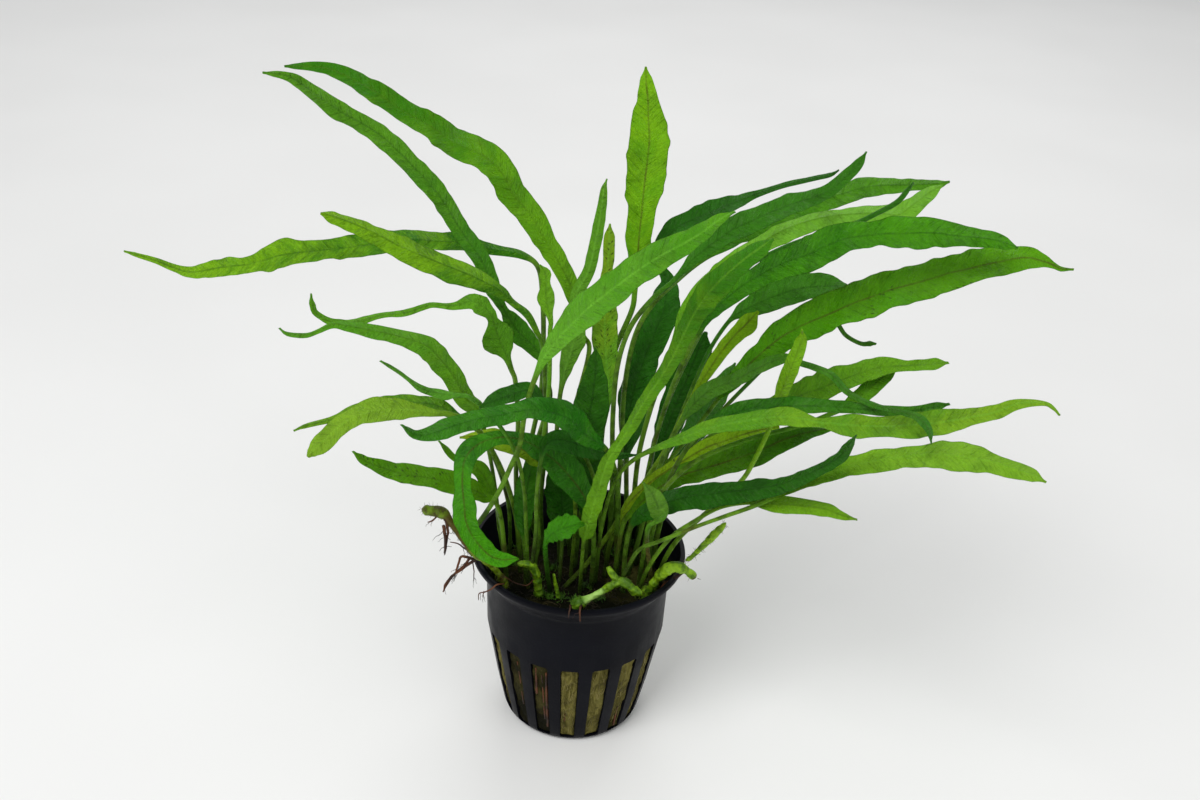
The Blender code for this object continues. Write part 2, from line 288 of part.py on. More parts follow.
# Pairs that cross: the first leaf passes on the viewer's side of the second.
FRONT_OF = [
    ("leaf_front_big_pale", "leaf_left_top_long"),
    ("leaf_front_big_pale", "leaf_centre_upright_slim"),
    ("leaf_front_big_pale", "leaf_centre_upright_spotted"),
    ("leaf_front_big_pale", "leaf_centre_tall"),
    ("leaf_front_big_pale", "leaf_right_upper_back"),
    ("leaf_front_big_pale", "leaf_left_small_upright"),
    ("leaf_front_big_pale", "leaf_left_dark"),
    ("leaf_front_big_pale", "leaf_centre_yellow"),
    ("leaf_front_dark_arch", "leaf_front_big_pale"),
    ("leaf_front_dark_arch", "leaf_left_arch"),
    ("leaf_front_dark_arch", "leaf_left_low_pale"),
    ("leaf_front_dark_arch", "leaf_centre_dark_short"),
    ("leaf_front_dark_arch", "leaf_centre_round_dark"),
    ("leaf_front_dark_arch", "leaf_front_drooping"),
    ("leaf_front_drooping", "leaf_left_speckled"),
    ("leaf_front_drooping", "leaf_left_short"),
    ("leaf_front_drooping", "leaf_centre_yellow"),
    ("leaf_front_drooping", "leaf_centre_round_dark"),
    ("leaf_front_drooping", "leaf_centre_low_left"),
    ("leaf_front_drooping", "leaf_centre_low_middle"),
    ("leaf_front_dark_arch", "leaf_centre_low_dark"),
    ("leaf_front_big_pale", "leaf_front_drooping"),
    ("leaf_front_big_pale", "leaf_centre_dark_short"),
    ("leaf_centre_low_dark", "leaf_front_drooping"),
    ("leaf_front_long_strip", "leaf_front_drooping"),
    ("leaf_front_long_strip", "leaf_centre_low_dark"),
    ("leaf_front_long_strip", "leaf_centre_round_dark"),
    ("leaf_right_low_long", "leaf_centre_low_dark"),
    ("leaf_centre_low_dark", "leaf_centre_round_dark"),
    ("leaf_centre_low_dark", "leaf_centre_low_left"),
    ("leaf_centre_low_dark", "leaf_centre_low_middle"),
    ("leaf_left_dark", "leaf_left_far"),
    ("leaf_left_dark", "leaf_left_top_short"),
    ("leaf_left_top_short", "leaf_left_far"),
    ("leaf_left_hooked", "leaf_left_arch"),
    ("leaf_left_low_pale", "leaf_left_low_behind"),
    ("leaf_front_long_strip", "leaf_right_light_arch"),
    ("leaf_front_long_strip", "leaf_front_dark_arch"),
    ("leaf_front_long_strip", "leaf_right_low_long"),
    ("leaf_front_long_strip", "leaf_centre_broad_back"),
    ("leaf_right_upper_dark", "leaf_right_upper_back"),
    ("leaf_right_thin_dark", "leaf_right_light_arch"),
    ("leaf_right_broad_arch", "leaf_right_thin_dark"),
    ("leaf_right_largest", "leaf_right_round_tip"),
    ("leaf_right_largest", "leaf_right_thin_curl"),
    ("leaf_right_thin_crossing", "leaf_right_middle_arch"),
    ("leaf_right_upright_narrow", "leaf_right_largest"),
    ("leaf_right_upright_narrow", "leaf_right_thin_crossing"),
    ("leaf_right_dark_arch", "leaf_right_upright_narrow"),
    ("leaf_right_low_long", "leaf_right_upright_narrow"),
    ("leaf_right_upright_narrow", "leaf_right_inner_arch"),
    ("leaf_right_upright_narrow", "leaf_right_inner_yellow"),
    ("leaf_right_low_dark", "leaf_right_upright_narrow"),
    ("leaf_right_low_dark", "leaf_right_low_front"),
    ("leaf_right_low_front", "leaf_right_low_short"),
    ("leaf_small_pale_triangle", "leaf_right_low_dark"),
]

# Rhizomes and roots: x, y, z and radius along each piece
RHIZOMES = [
    ("rhizome_left", "rhizome_brown", [
        (-37.4, -7.0, 61.6, .8), (-35.8, -7.0, 61.4, 1.25), (-33.6, -7.0, 61.2, 1.35),
        (-31.9, -7.2, 60.4, 1.25), (-30.5, -7.6, 58.6, .95), (-28.9, -8.0, 56.2, .75),
        (-27.2, -8.6, 53.7, .75), (-25.4, -9.6, 51.7, .8), (-23.3, -10.2, 50.7, .9),
        (-21.6, -10.2, 49.5, .95), (-19.8, -10.0, 47.1, .95), (-18.2, -9.6, 44.2, 1.0),
        (-17.2, -9.0, 40.8, 1.0)]),
    ("rhizome_front", "rhizome_green", [
        (-1.6, -18.8, 44.4, 1.0), (0.4, -18.4, 44.9, 1.2), (2.8, -18.0, 46.1, .85),
        (5.2, -17.4, 47.4, .8), (7.4, -17.0, 48.9, .9), (9.5, -17.0, 50.3, 1.15),
        (11.2, -17.2, 49.8, 1.15), (12.9, -17.6, 48.4, 1.1), (14.8, -18.0, 47.7, 1.2)]),
    ("rhizome_middle", "rhizome_green", [
        (-14.6, -10.6, 49.6, .7), (-12.8, -10.6, 49.7, .8), (-11.2, -10.6, 49.1, .95),
        (-10.1, -10.6, 46.6, 1.0), (-9.6, -10.6, 43.6, 1.05), (-9.3, -10.4, 39.9, .95)]),
    ("rhizome_right", "rhizome_green", [
        (27.6, -12.0, 48.4, 1.15), (25.8, -12.0, 50.1, 1.3), (23.8, -12.0, 51.3, 1.3),
        (21.6, -12.0, 51.2, 1.3), (19.8, -12.0, 49.6, 1.2), (18.4, -12.0, 47.6, 1.15),
        (17.4, -12.0, 45.2, 1.0), (16.4, -11.6, 42.4, 1.0), (15.8, -11.0, 39.8, .9)]),
]

ROOTS = [
    ("root_left_hanging", "root_dark", [
        (-32.2, -8.0, 57.9, .42), (-31.9, -8.0, 56.0, .4), (-31.6, -8.0, 53.4, .33),
        (-32.2, -8.0, 50.0, .24)]),
    ("root_left_fork", "root_dark", [
        (-25.9, -9.5, 50.0, .34), (-27.2, -9.2, 47.4, .32), (-29.0, -9.0, 45.3, .3),
        (-30.7, -9.0, 42.8, .28), (-32.1, -9.0, 39.8, .24)]),
    ("stem_right_hairy", "rhizome_green", [
        (24.9, -12.0, 53.3, .5), (26.4, -12.0, 54.7, .55), (28.2, -12.0, 57.2, .7),
        (30.0, -12.0, 59.8, .85), (31.7, -12.0, 62.2, .85), (33.3, -12.0, 64.6, .55)]),
]


def clear_scene():
    for item in list(bpy.data.objects):
        bpy.data.objects.remove(item, do_unlink=True)


def make_collection(name):
    group = bpy.data.collections.new(name)
    bpy.context.scene.collection.children.link(group)
    return group


def make_material(name, slot):
    colour, rough = COLOURS[slot]
    mat = bpy.data.materials.new(name)
    mat.use_nodes = True
    shader = mat.node_tree.nodes["Principled BSDF"]
    shader.inputs["Base Color"].default_value = (*colour, 1.0)
    shader.inputs["Roughness"].default_value = rough
    shader.inputs["Metallic"].default_value = 0.0
    mat.diffuse_color = (*colour, 1.0)
    return mat


def add_object(name, data, slot, group):
    obj = bpy.data.objects.new(name, data)
    obj.data.materials.append(make_material(name + "_" + slot, slot))
    group.objects.link(obj)
    return obj


def smooth_mesh(mesh, degrees=40.0):
    mesh.shade_smooth()
    mesh.set_sharp_from_angle(angle=math.radians(degrees))


def mesh_from_bmesh(bm, name):
    mesh = bpy.data.meshes.new(name)
    bmesh.ops.recalc_face_normals(bm, faces=bm.faces[:])
    bm.to_mesh(mesh)
    bm.free()
    return mesh


# Net pot

def pot_radius(z):
    """Outer radius of the pot at a height."""
    heights = [0.0, 0.7, 1.6, 12.0, SLOT_TOP_Z, RIM_BAND_Z, POT_H - 1.0, POT_H]
    radii = [FOOT_R - 0.9, FOOT_R, FOOT_R + 0.6, 19.6, SLOT_TOP_R, NECK_R, RIM_R, RIM_R]
    return float(np.interp(z, heights, radii))


def pot_profile():
    """Radius and height down the outside, across the base and up the inside, as a closed ring."""
    outer = [(RIM_R - LIP, POT_H), (RIM_R - 0.3, POT_H), (RIM_R, POT_H - 0.4), (RIM_R, POT_H - 1.1)]
    for z in (RIM_BAND_Z + 0.4, RIM_BAND_Z - 0.4, SLOT_TOP_Z, 12.0, 1.6, 0.6, 0.0):
        outer.append((pot_radius(z), z))
    inner = [(0.0, 0.0), (0.0, FLOOR)]
    for z in (FLOOR, 12.0, SLOT_TOP_Z, RIM_BAND_Z - 0.4):
        inner.append((pot_radius(z) - WALL, z))
    inner.append((RIM_R - LIP, POT_H - 1.4))
    return outer + inner


def lathe(name, points, steps, group, slot):
    """A turned solid from a radius and height profile that runs down its outer side."""
    bm = bmesh.new()
    verts = [bm.verts.new((r * MM, 0.0, z * MM)) for r, z in points]
    on_axis = [r < 1e-6 for r, z in points]
    for i in range(len(verts)):
        j = (i + 1) % len(verts)
        if not (on_axis[i] and on_axis[j]):
            bm.edges.new((verts[i], verts[j]))
    mesh = bpy.data.meshes.new(name)
    bm.to_mesh(mesh)
    bm.free()
    obj = add_object(name, mesh, slot, group)
    turn = obj.modifiers.new("Turn", "SCREW")
    turn.axis = "Z"
    turn.steps = steps
    turn.render_steps = steps
    turn.use_merge_vertices = True
    turn.merge_threshold = 0.00001
    turn.use_smooth_shade = True
    return obj


def wedge(bm, angle, half, r0, r1, z0, z1):
    """A block with sides on radial planes."""
    corners = []
    for z in (z0, z1):
        for r, a in ((r0, -half), (r1, -half), (r1, half), (r0, half)):
            t = angle + a
            corners.append(bm.verts.new((r * math.sin(t) * MM, -r * math.cos(t) * MM, z * MM)))
    sides = [(0, 1, 2, 3), (7, 6, 5, 4), (0, 4, 5, 1), (1, 5, 6, 2), (2, 6, 7, 3), (3, 7, 4, 0)]
    for side in sides:
        bm.faces.new([corners[i] for i in side])


def slot_cutter(group):
    """Upright slots round the wall and short slots in the base."""
    bm = bmesh.new()
    for k in range(SLOTS):
        wedge(bm, SLOT_TURN + k * SLOT_PITCH, SLOT_HALF_ANGLE, FOOT_R - 2.4, 30.0, SLOT_LOW_Z, SLOT_TOP_Z)
    for k in range(FLOOR_SLOTS):
        turn = SLOT_TURN + k * 2.0 * math.pi / FLOOR_SLOTS
        wedge(bm, turn, math.radians(13.0), 5.0, 12.5, -2.0, FLOOR + 1.0)
    cutter = bpy.data.objects.new("slot_cutter", mesh_from_bmesh(bm, "slot_cutter"))
    cutter.hide_render = True
    cutter.display_type = "WIRE"
    group.objects.link(cutter)
    return cutter


def make_pot(group, cutters):
    pot = lathe("net_pot", pot_profile(), 54, group, "net_pot_black")
    pot.rotation_euler.z = SLOT_TURN - math.pi / 2.0 + SLOT_PITCH / 2.0
    cut = pot.modifiers.new("Slots", "BOOLEAN")
    cut.operation = "DIFFERENCE"
    cut.solver = "EXACT"
    cut.object = slot_cutter(cutters)
    return pot


# Rock wool

def wool_height(x, y):
    """Top of the rock wool, slightly uneven."""
    return WOOL_TOP_Z + 0.35 * math.sin(0.31 * x + 0.8) * math.cos(0.27 * y)


def make_wool(group):
    """A plug that fills the pot, with an uneven top."""
    rings = 30
    bm = bmesh.new()
    levels = [FLOOR + GAP, 8.0, 16.0, SLOT_TOP_Z, 34.0, WOOL_TOP_Z - 1.2]
    layers = []
    for z in levels:
        r = min(pot_radius(z) - WALL - GAP - 0.15, WOOL_R)
        layers.append([bm.verts.new((r * math.cos(a) * MM, r * math.sin(a) * MM, z * MM))
                       for a in [2.0 * math.pi * k / rings for k in range(rings)]])
    for r in (WOOL_R - 1.2, 13.0, 6.5):
        ring = []
        for k in range(rings):
            a = 2.0 * math.pi * k / rings
            x = r * math.cos(a)
            y = r * math.sin(a)
            ring.append(bm.verts.new((x * MM, y * MM, wool_height(x, y) * MM)))
        layers.append(ring)
    for low, high in zip(layers, layers[1:]):
        for k in range(rings):
            n = (k + 1) % rings
            bm.faces.new((low[k], low[n], high[n], high[k]))
    bottom = bm.verts.new((0.0, 0.0, levels[0] * MM))
    top = bm.verts.new((0.0, 0.0, wool_height(0.0, 0.0) * MM))
    for k in range(rings):
        n = (k + 1) % rings
        bm.faces.new((layers[0][n], layers[0][k], bottom))
        bm.faces.new((layers[-1][k], layers[-1][n], top))
    mesh = mesh_from_bmesh(bm, "rock_wool")
    smooth_mesh(mesh)
    return add_object("rock_wool", mesh, "rock_wool", group)


# Rhizomes and roots

def smooth_path(points, spacing):
    """Evenly spaced points on a smooth curve through the given points, all columns together."""
    pts = np.array(points, float)
    ends = np.vstack([2 * pts[0] - pts[1], pts, 2 * pts[-1] - pts[-2]])
    fine = []
    for i in range(1, len(ends) - 2):
        p0, p1, p2, p3 = ends[i - 1:i + 3]
        for t in np.linspace(0.0, 1.0, 12, endpoint=False):
            fine.append(0.5 * (2 * p1 + (p2 - p0) * t + (2 * p0 - 5 * p1 + 4 * p2 - p3) * t * t
                               + (3 * p1 - p0 - 3 * p2 + p3) * t ** 3))
    fine.append(ends[-2])
    fine = np.array(fine)
    step = np.linalg.norm(np.diff(fine[:, :2], axis=0), axis=1)
    if fine.shape[1] > 3:
        step = np.linalg.norm(np.diff(fine[:, :3], axis=0), axis=1)
    length = np.concatenate([[0.0], np.cumsum(step)])
    count = int(np.clip(round(length[-1] / spacing) + 1, MIN_STATIONS, MAX_STATIONS))
    even = np.linspace(0.0, length[-1], count)
    return np.stack([np.interp(even, length, fine[:, c]) for c in range(fine.shape[1])], axis=1)


def make_tube(name, slot, points, spacing, group):
    """A tapering tube along a route of x, y, z and radius."""
    route = smooth_path(points, spacing)
    curve = bpy.data.curves.new(name, "CURVE")
    curve.dimensions = "3D"
    curve.bevel_depth = MM
    curve.bevel_resolution = 2
    curve.use_fill_caps = True
    line = curve.splines.new("POLY")
    line.points.add(len(route) - 1)
    for point, (x, y, z, r) in zip(line.points, route):
        point.co = (x * MM, y * MM, z * MM, 1.0)
        point.radius = r
    line.use_smooth = True
    return add_object(name, curve, slot, group)


# Leaves

def slide(x, z, depth):
    """The point at a depth on the line of sight through x, z of the reading plane."""
    t = (depth - EYE[1]) / -EYE[1]
    return np.stack([EYE[0] + (x - EYE[0]) * t, depth, EYE[2] + (z - EYE[2]) * t], axis=-1)


def read_leaf(leaf):
    """Stations of one leaf in the reading plane, from foot to tip: x, z, width, and depth."""
    name, slot, tip_depth, bend, foot, route = leaf
    x, y = foot[0], foot[1]
    z = foot[2] if len(foot) == 3 else wool_height(x, y) + GAP + 0.15
    t = (y - EYE[1]) / -EYE[1]
    start = (EYE[0] + (x - EYE[0]) / t, EYE[2] + (z - EYE[2]) / t, STALK_THICK)
    flat = smooth_path([(a, b, w) for a, b, w in reversed(route + [start])], STATION)
    step = np.linalg.norm(np.diff(flat[:, :2], axis=0), axis=1)
    u = np.concatenate([[0.0], np.cumsum(step)])
    u = u / u[-1]
    depth = y + (tip_depth - y) * u ** bend
    return flat, depth


def frames(flat, depth):
    """Centres, half widths, blade directions and face directions of a leaf's stations."""
    centre = slide(flat[:, 0], flat[:, 1], depth)
    along = np.gradient(centre, axis=0)
    along /= np.linalg.norm(along, axis=1)[:, None]
    sight = centre - EYE
    sight /= np.linalg.norm(sight, axis=1)[:, None]
    side = np.cross(along, sight)
    side /= np.maximum(np.linalg.norm(side, axis=1), 1e-6)[:, None]
    face = np.cross(along, side)
    up = np.array([0.0, 0.0, 1.0]) - along * along[:, 2:3]
    level = np.linalg.norm(up, axis=1)
    angle = np.arctan2(np.sum(up * side, axis=1), np.sum(up * face, axis=1))
    angle = np.where(np.cos(angle) < 0.0, np.sign(angle) * math.pi - angle, angle)
    roll = np.clip(FLATTEN * level * angle, -MAX_ROLL, MAX_ROLL)
    roll = np.convolve(np.pad(roll, 2, mode="edge"), np.ones(5) / 5.0, mode="valid")
    turn = np.cos(roll)[:, None]
    lean = np.sin(roll)[:, None]
    new_side = side * turn - face * lean
    new_face = face * turn + side * lean
    scale = (depth - EYE[1]) / -EYE[1]
    half = 0.5 * flat[:, 2] * scale / np.cos(roll)
    return centre, half, new_side, new_face


def thickness(width):
    """Rib height: a stalk is round and a blade is flat."""
    blade = np.clip((width - 1.6) / 2.0, 0.0, 1.0)
    return np.minimum(STALK_THICK * (1.0 - blade) + RIB_THICK * blade, width * 0.93)


def crossings(flats):
    """Samples of each leaf that lie over another leaf in the reading plane."""
    starts = np.concatenate([[0], np.cumsum([len(f) for f in flats])])
    tables = []
    for a, fa in enumerate(flats):
        part = np.arange(0.0, len(fa) - 1.0 + 1e-6, 0.34)
        i0 = np.minimum(part.astype(int), len(fa) - 2)
        fr = part - i0
        pa = fa[i0, :2] * (1 - fr)[:, None] + fa[i0 + 1, :2] * fr[:, None]
        wa = fa[i0, 2] * (1 - fr) + fa[i0 + 1, 2] * fr
        da = fa[i0 + 1, :2] - fa[i0, :2]
        da /= np.linalg.norm(da, axis=1)[:, None]
        na = np.stack([-da[:, 1], da[:, 0]], axis=1)
        for across in (-1.0, -0.5, 0.0, 0.5, 1.0):
            spot = pa + na * (across * 0.5 * wa)[:, None]
            for b, fb in enumerate(flats):
                if a == b:
                    continue
                seg = fb[1:, :2] - fb[:-1, :2]
                size2 = np.sum(seg * seg, axis=1)
                rel = spot[:, None, :] - fb[None, :-1, :2]
                s = np.sum(rel * seg[None], axis=2) / size2[None]
                off = rel[:, :, 0] * seg[None, :, 1] - rel[:, :, 1] * seg[None, :, 0]
                off = off / np.sqrt(size2)[None]
                wb = fb[:-1, 2] + (fb[1:, 2] - fb[:-1, 2]) * np.clip(s, 0.0, 1.0)
                hit = (s > -0.04) & (s < 1.04) & (np.abs(off) < 0.5 * wb + 0.55)
                rows, cols = np.nonzero(hit)
                for r, c in zip(rows, cols):
                    tables.append((a, b, starts[a] + i0[r], fr[r], across, starts[b] + c,
                                   min(max(s[r, c], 0.0), 1.0), off[r, c] / max(0.5 * wb[r, c], 0.3)))
    return np.array(tables), starts


def clear_crossings(leaves):
    """Depths that let crossing leaves pass each other, with each foot held in place."""
    flats = []
    depths = []
    for leaf in leaves:
        flat, depth = read_leaf(leaf)
        flats.append(flat)
        depths.append(depth)
    first_depths = [depth.copy() for depth in depths]
    names = [leaf[0] for leaf in leaves]
    table, starts = crossings(flats)
    a_id = table[:, 0].astype(int)
    b_id = table[:, 1].astype(int)
    ia = table[:, 2].astype(int)
    fa = table[:, 3][:, None]
    across = table[:, 4][:, None]
    ib = table[:, 5].astype(int)
    sb = table[:, 6][:, None]
    off = np.abs(table[:, 7])
    known = {}
    for first, second in FRONT_OF:
        known[(names.index(first), names.index(second))] = 1.0
        known[(names.index(second), names.index(first))] = -1.0
    width = np.concatenate([f[:, 2] for f in flats])
    thick = thickness(width)
    free = np.concatenate([np.clip(np.arange(len(f)) / 3.0, 0.0, 1.0) for f in flats])
    order = None
    for step in range(ROUNDS):
        parts = [frames(f, d) for f, d in zip(flats, depths)]
        centre = np.concatenate([p[0] for p in parts])
        half = np.concatenate([p[1] for p in parts])[:, None]
        side = np.concatenate([p[2] for p in parts])
        face = np.concatenate([p[3] for p in parts])
        edge = side * half
        spot = (centre[ia] + edge[ia] * across) * (1 - fa) + (centre[ia + 1] + edge[ia + 1] * across) * fa
        t_a = (spot[:, 1] - EYE[1]) / -EYE[1]
        ray = (spot - EYE) / t_a[:, None]
        base = centre[ib] * (1 - sb) + centre[ib + 1] * sb
        norm = face[ib] * (1 - sb) + face[ib + 1] * sb
        norm /= np.linalg.norm(norm, axis=1)[:, None]
        slope = np.sum(norm * ray, axis=1)
        slope = np.where(np.abs(slope) < 120.0, np.sign(slope) * 120.0, slope)
        t_b = np.sum(norm * (base - EYE), axis=1) / slope
        gap = (t_b - t_a) * np.abs(slope)
        thick_a = thick[ia] * (1 - fa[:, 0]) + thick[ia + 1] * fa[:, 0]
        thick_b = thick[ib] * (1 - sb[:, 0]) + thick[ib + 1] * sb[:, 0]
        need = 0.5 * thick_a * (1.0 - 0.7 * np.abs(across[:, 0])) + CLEAR
        need = need + 0.5 * thick_b * np.clip(1.0 - 0.7 * off, 0.2, 1.0)
        if order is None:
            order = group_order(a_id, b_id, ia - starts[a_id], ib - starts[b_id], gap, known)
        short = np.clip(need - order * gap, 0.0, 1.5)
        move = short / np.abs(slope) * -EYE[1] * 0.5
        pull_a = np.zeros(len(width))
        push_a = np.zeros(len(width))
        for index, toward in ((ia, order > 0), (ia + 1, order > 0), (ib, order < 0), (ib + 1, order < 0)):
            np.maximum.at(pull_a, index[toward], move[toward])
            away = ~toward
            np.maximum.at(push_a, index[away], move[away])
        change = push_a - pull_a
        for k in range(len(flats)):
            lo, hi = starts[k], starts[k + 1]
            row = np.convolve(np.pad(change[lo:hi], 2, mode="edge"), [0.1, 0.22, 0.36, 0.22, 0.1], "valid")
            shift = depths[k] + row * free[lo:hi] - first_depths[k]
            ends = np.pad(shift, 1, mode="edge")
            shift = 0.6 * shift + 0.2 * (ends[:-2] + ends[2:])
            shift[0] = 0.0
            depths[k] = keep_inside_pot(flats[k], first_depths[k] + shift)
    return flats, depths


def keep_inside_pot(flat, depth):
    """Depths that keep a stalk clear of the pot's wall until it has passed the rim."""
    centre = slide(flat[:, 0], flat[:, 1], depth)
    wall = np.interp(centre[:, 2], [0.0, RIM_BAND_Z, POT_H, POT_H + 2.5], [18.0, NECK_R, RIM_R - 0.6, 60.0])
    limit = wall - WALL - 1.6
    reach = np.sqrt(np.maximum(limit ** 2 - centre[:, 0] ** 2, 0.25))
    low = (centre[:, 2] < POT_H + 2.5) & (np.abs(centre[:, 0]) < limit)
    return np.where(low, np.clip(depth, -reach, reach), depth)


def group_order(a_id, b_id, sa, sb, gap, known):
    """One order for each place where two leaves cross: +1 where the first is nearer the viewer."""
    order = np.zeros(len(a_id))
    keys = {}
    for n in range(len(a_id)):
        low, high = min(a_id[n], b_id[n]), max(a_id[n], b_id[n])
        low_station = sa[n] if a_id[n] == low else sb[n]
        keys.setdefault((low, high), []).append((low_station, n))
    for (low, high), rows in keys.items():
        rows.sort()
        groups = [[rows[0]]]
        for row in rows[1:]:
            if row[0] - groups[-1][-1][0] > 2:
                groups.append([])
            groups[-1].append(row)
        for group in groups:
            index = [n for _, n in group]
            signed = [gap[n] if a_id[n] == low else -gap[n] for n in index]
            sign = 1.0 if np.mean(signed) >= 0.0 else -1.0
            near_foot = min(min(sa[n], sb[n]) for n in index) < 4
            if (low, high) in known and not near_foot:
                sign = known[(low, high)]
            for n in index:
                order[n] = sign if a_id[n] == low else -sign
    return order


def make_leaf(name, slot, flat, depth, group):
    """A flat tapering loft: four points at each station, two edges and two rib lines."""
    centre, half, side, face = frames(flat, depth)
    rise = 0.5 * thickness(flat[:, 2])
    bm = bmesh.new()
    rows = []
    for c, h, s, f, r in zip(centre, half, side, face, rise):
        spots = (c + s * h, c + f * r, c - s * h, c - f * r)
        rows.append([bm.verts.new(tuple(p * MM)) for p in spots])
    for low, high in zip(rows, rows[1:]):
        for k in range(4):
            n = (k + 1) % 4
            bm.faces.new((low[k], low[n], high[n], high[k]))
    bm.faces.new(rows[0])
    bm.faces.new(rows[-1])
    mesh = mesh_from_bmesh(bm, name)
    smooth_mesh(mesh, 60.0)
    return add_object(name, mesh, slot, group)


def main():
    clear_scene()
    group = make_collection("potted_narrow_leaf_java_fern")
    cutters = make_collection("cutters")
    make_pot(group, cutters)
    make_wool(group)
    for name, slot, points in RHIZOMES:
        make_tube(name, slot, points, 2.4, group)
    for name, slot, points in ROOTS:
        make_tube(name, slot, points, 1.6, group)
    flats, depths = clear_crossings(LEAVES)
    for leaf, flat, depth in zip(LEAVES, flats, depths):
        make_leaf(leaf[0], leaf[1], flat, depth, group)


main()
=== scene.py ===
# Looks of a narrow leaf java fern in a slotted net pot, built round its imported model.
# Sizes are in millimetres and MM turns them into metres. The leaf routes, rhizomes and
# roots are those of the solid model.

import math

import bmesh
import bpy
import numpy as np
from mathutils import Matrix, Vector


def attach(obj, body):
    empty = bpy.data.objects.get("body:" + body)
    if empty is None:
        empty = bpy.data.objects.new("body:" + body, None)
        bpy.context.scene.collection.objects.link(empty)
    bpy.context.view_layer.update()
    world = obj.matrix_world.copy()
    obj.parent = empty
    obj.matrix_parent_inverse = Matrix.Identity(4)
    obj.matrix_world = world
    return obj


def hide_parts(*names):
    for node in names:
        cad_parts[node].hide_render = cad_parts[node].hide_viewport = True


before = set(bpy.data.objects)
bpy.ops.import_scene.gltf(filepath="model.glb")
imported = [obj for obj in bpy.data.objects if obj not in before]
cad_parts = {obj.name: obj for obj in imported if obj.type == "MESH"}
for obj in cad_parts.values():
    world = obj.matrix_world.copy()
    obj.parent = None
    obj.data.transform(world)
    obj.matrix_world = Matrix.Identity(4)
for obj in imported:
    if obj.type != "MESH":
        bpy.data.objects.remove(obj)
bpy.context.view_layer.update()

MM = 0.001
GAP = 0.3

# Net pot
RIM_R = 26.0
POT_H = 48.0
RIM_BAND_Z = 42.0
NECK_R = 22.4
SLOT_TOP_Z = 26.8
SLOT_LOW_Z = 1.4
SLOT_TOP_R = 22.1
FOOT_R = 16.9
WALL = 1.1
LIP = 1.3
FLOOR = 1.6
SLOTS = 18
SLOT_PITCH = 2.0 * math.pi / SLOTS
SLOT_TURN = math.radians(-3.0)
SLOT_HALF_ANGLE = math.radians(5.8)
FLOOR_SLOTS = 6
FLOOR_SLOT_HALF_ANGLE = math.radians(13.0)
FLOOR_SLOT_IN_R = 5.0
FLOOR_SLOT_OUT_R = 12.5
TURN_STEPS = 216

# Rock wool
WOOL_TOP_Z = 38.0
WOOL_R = 20.7

# Leaf blades
RIB_THICK = 0.95
STALK_THICK = 1.3
STATION = 6.0
MIN_STATIONS = 9
MAX_STATIONS = 20
FLATTEN = 0.5
MAX_ROLL = math.radians(34.0)

# The leaf routes below are read on the upright plane y = 0 as seen from this point.
# A point at another depth slides along its line of sight through this point.
EYE = np.array([-7.0, -268.0, 243.0])

# Clearing of leaves that cross: room left between them, rounds, step between samples in
# stations, least slope of a face to the line of sight, most that one round makes up, and
# the weights that spread a move over its neighbours. Samples of one crossing lie at most
# SAME_PLACE stations apart, and nearer a foot than NEAR_FOOT stations the solver picks the order.
CLEAR = 0.55
ROUNDS = 160
SAMPLE_STEP = 0.34
MIN_SLOPE = 120.0
MAX_SHORT = 1.5
SPREAD = [0.1, 0.22, 0.36, 0.22, 0.1]
SAME_PLACE = 2
NEAR_FOOT = 4

# Detail of the leaves: step along a blade, places across it from margin to margin, how far
# a stalk runs past its foot, and the midrib's width and height above and below
BLADE_STEP = 0.7
ACROSS = np.array((-1.0, -0.94, -0.8, -0.6, -0.4, -0.22, -0.09, 0.0, 0.09, 0.22, 0.4, 0.6, 0.8, 0.94, 1.0))
FOOT_RUN = 1.3
RIDGE_WIDTH = 0.36
RIDGE_ABOVE = 0.16
RIDGE_BELOW = 0.30
MOST_POINTS = 400

# Detail of the rhizomes and hairs: step along, sides round, and the places along a hair
STEM_STEP = 0.35
STEM_SIDES = 20
HAIR_STEPS = (0.0, 0.35, 0.7, 1.0)

BRIGHT = "leaf_bright_green"
MID = "leaf_mid_green"
DARK = "leaf_dark_green"
PALE = "leaf_pale_green"
YELLOW = "leaf_yellow_green"
BROWN = "brown"
PLAIN = "plain"
LIGHT = "light"

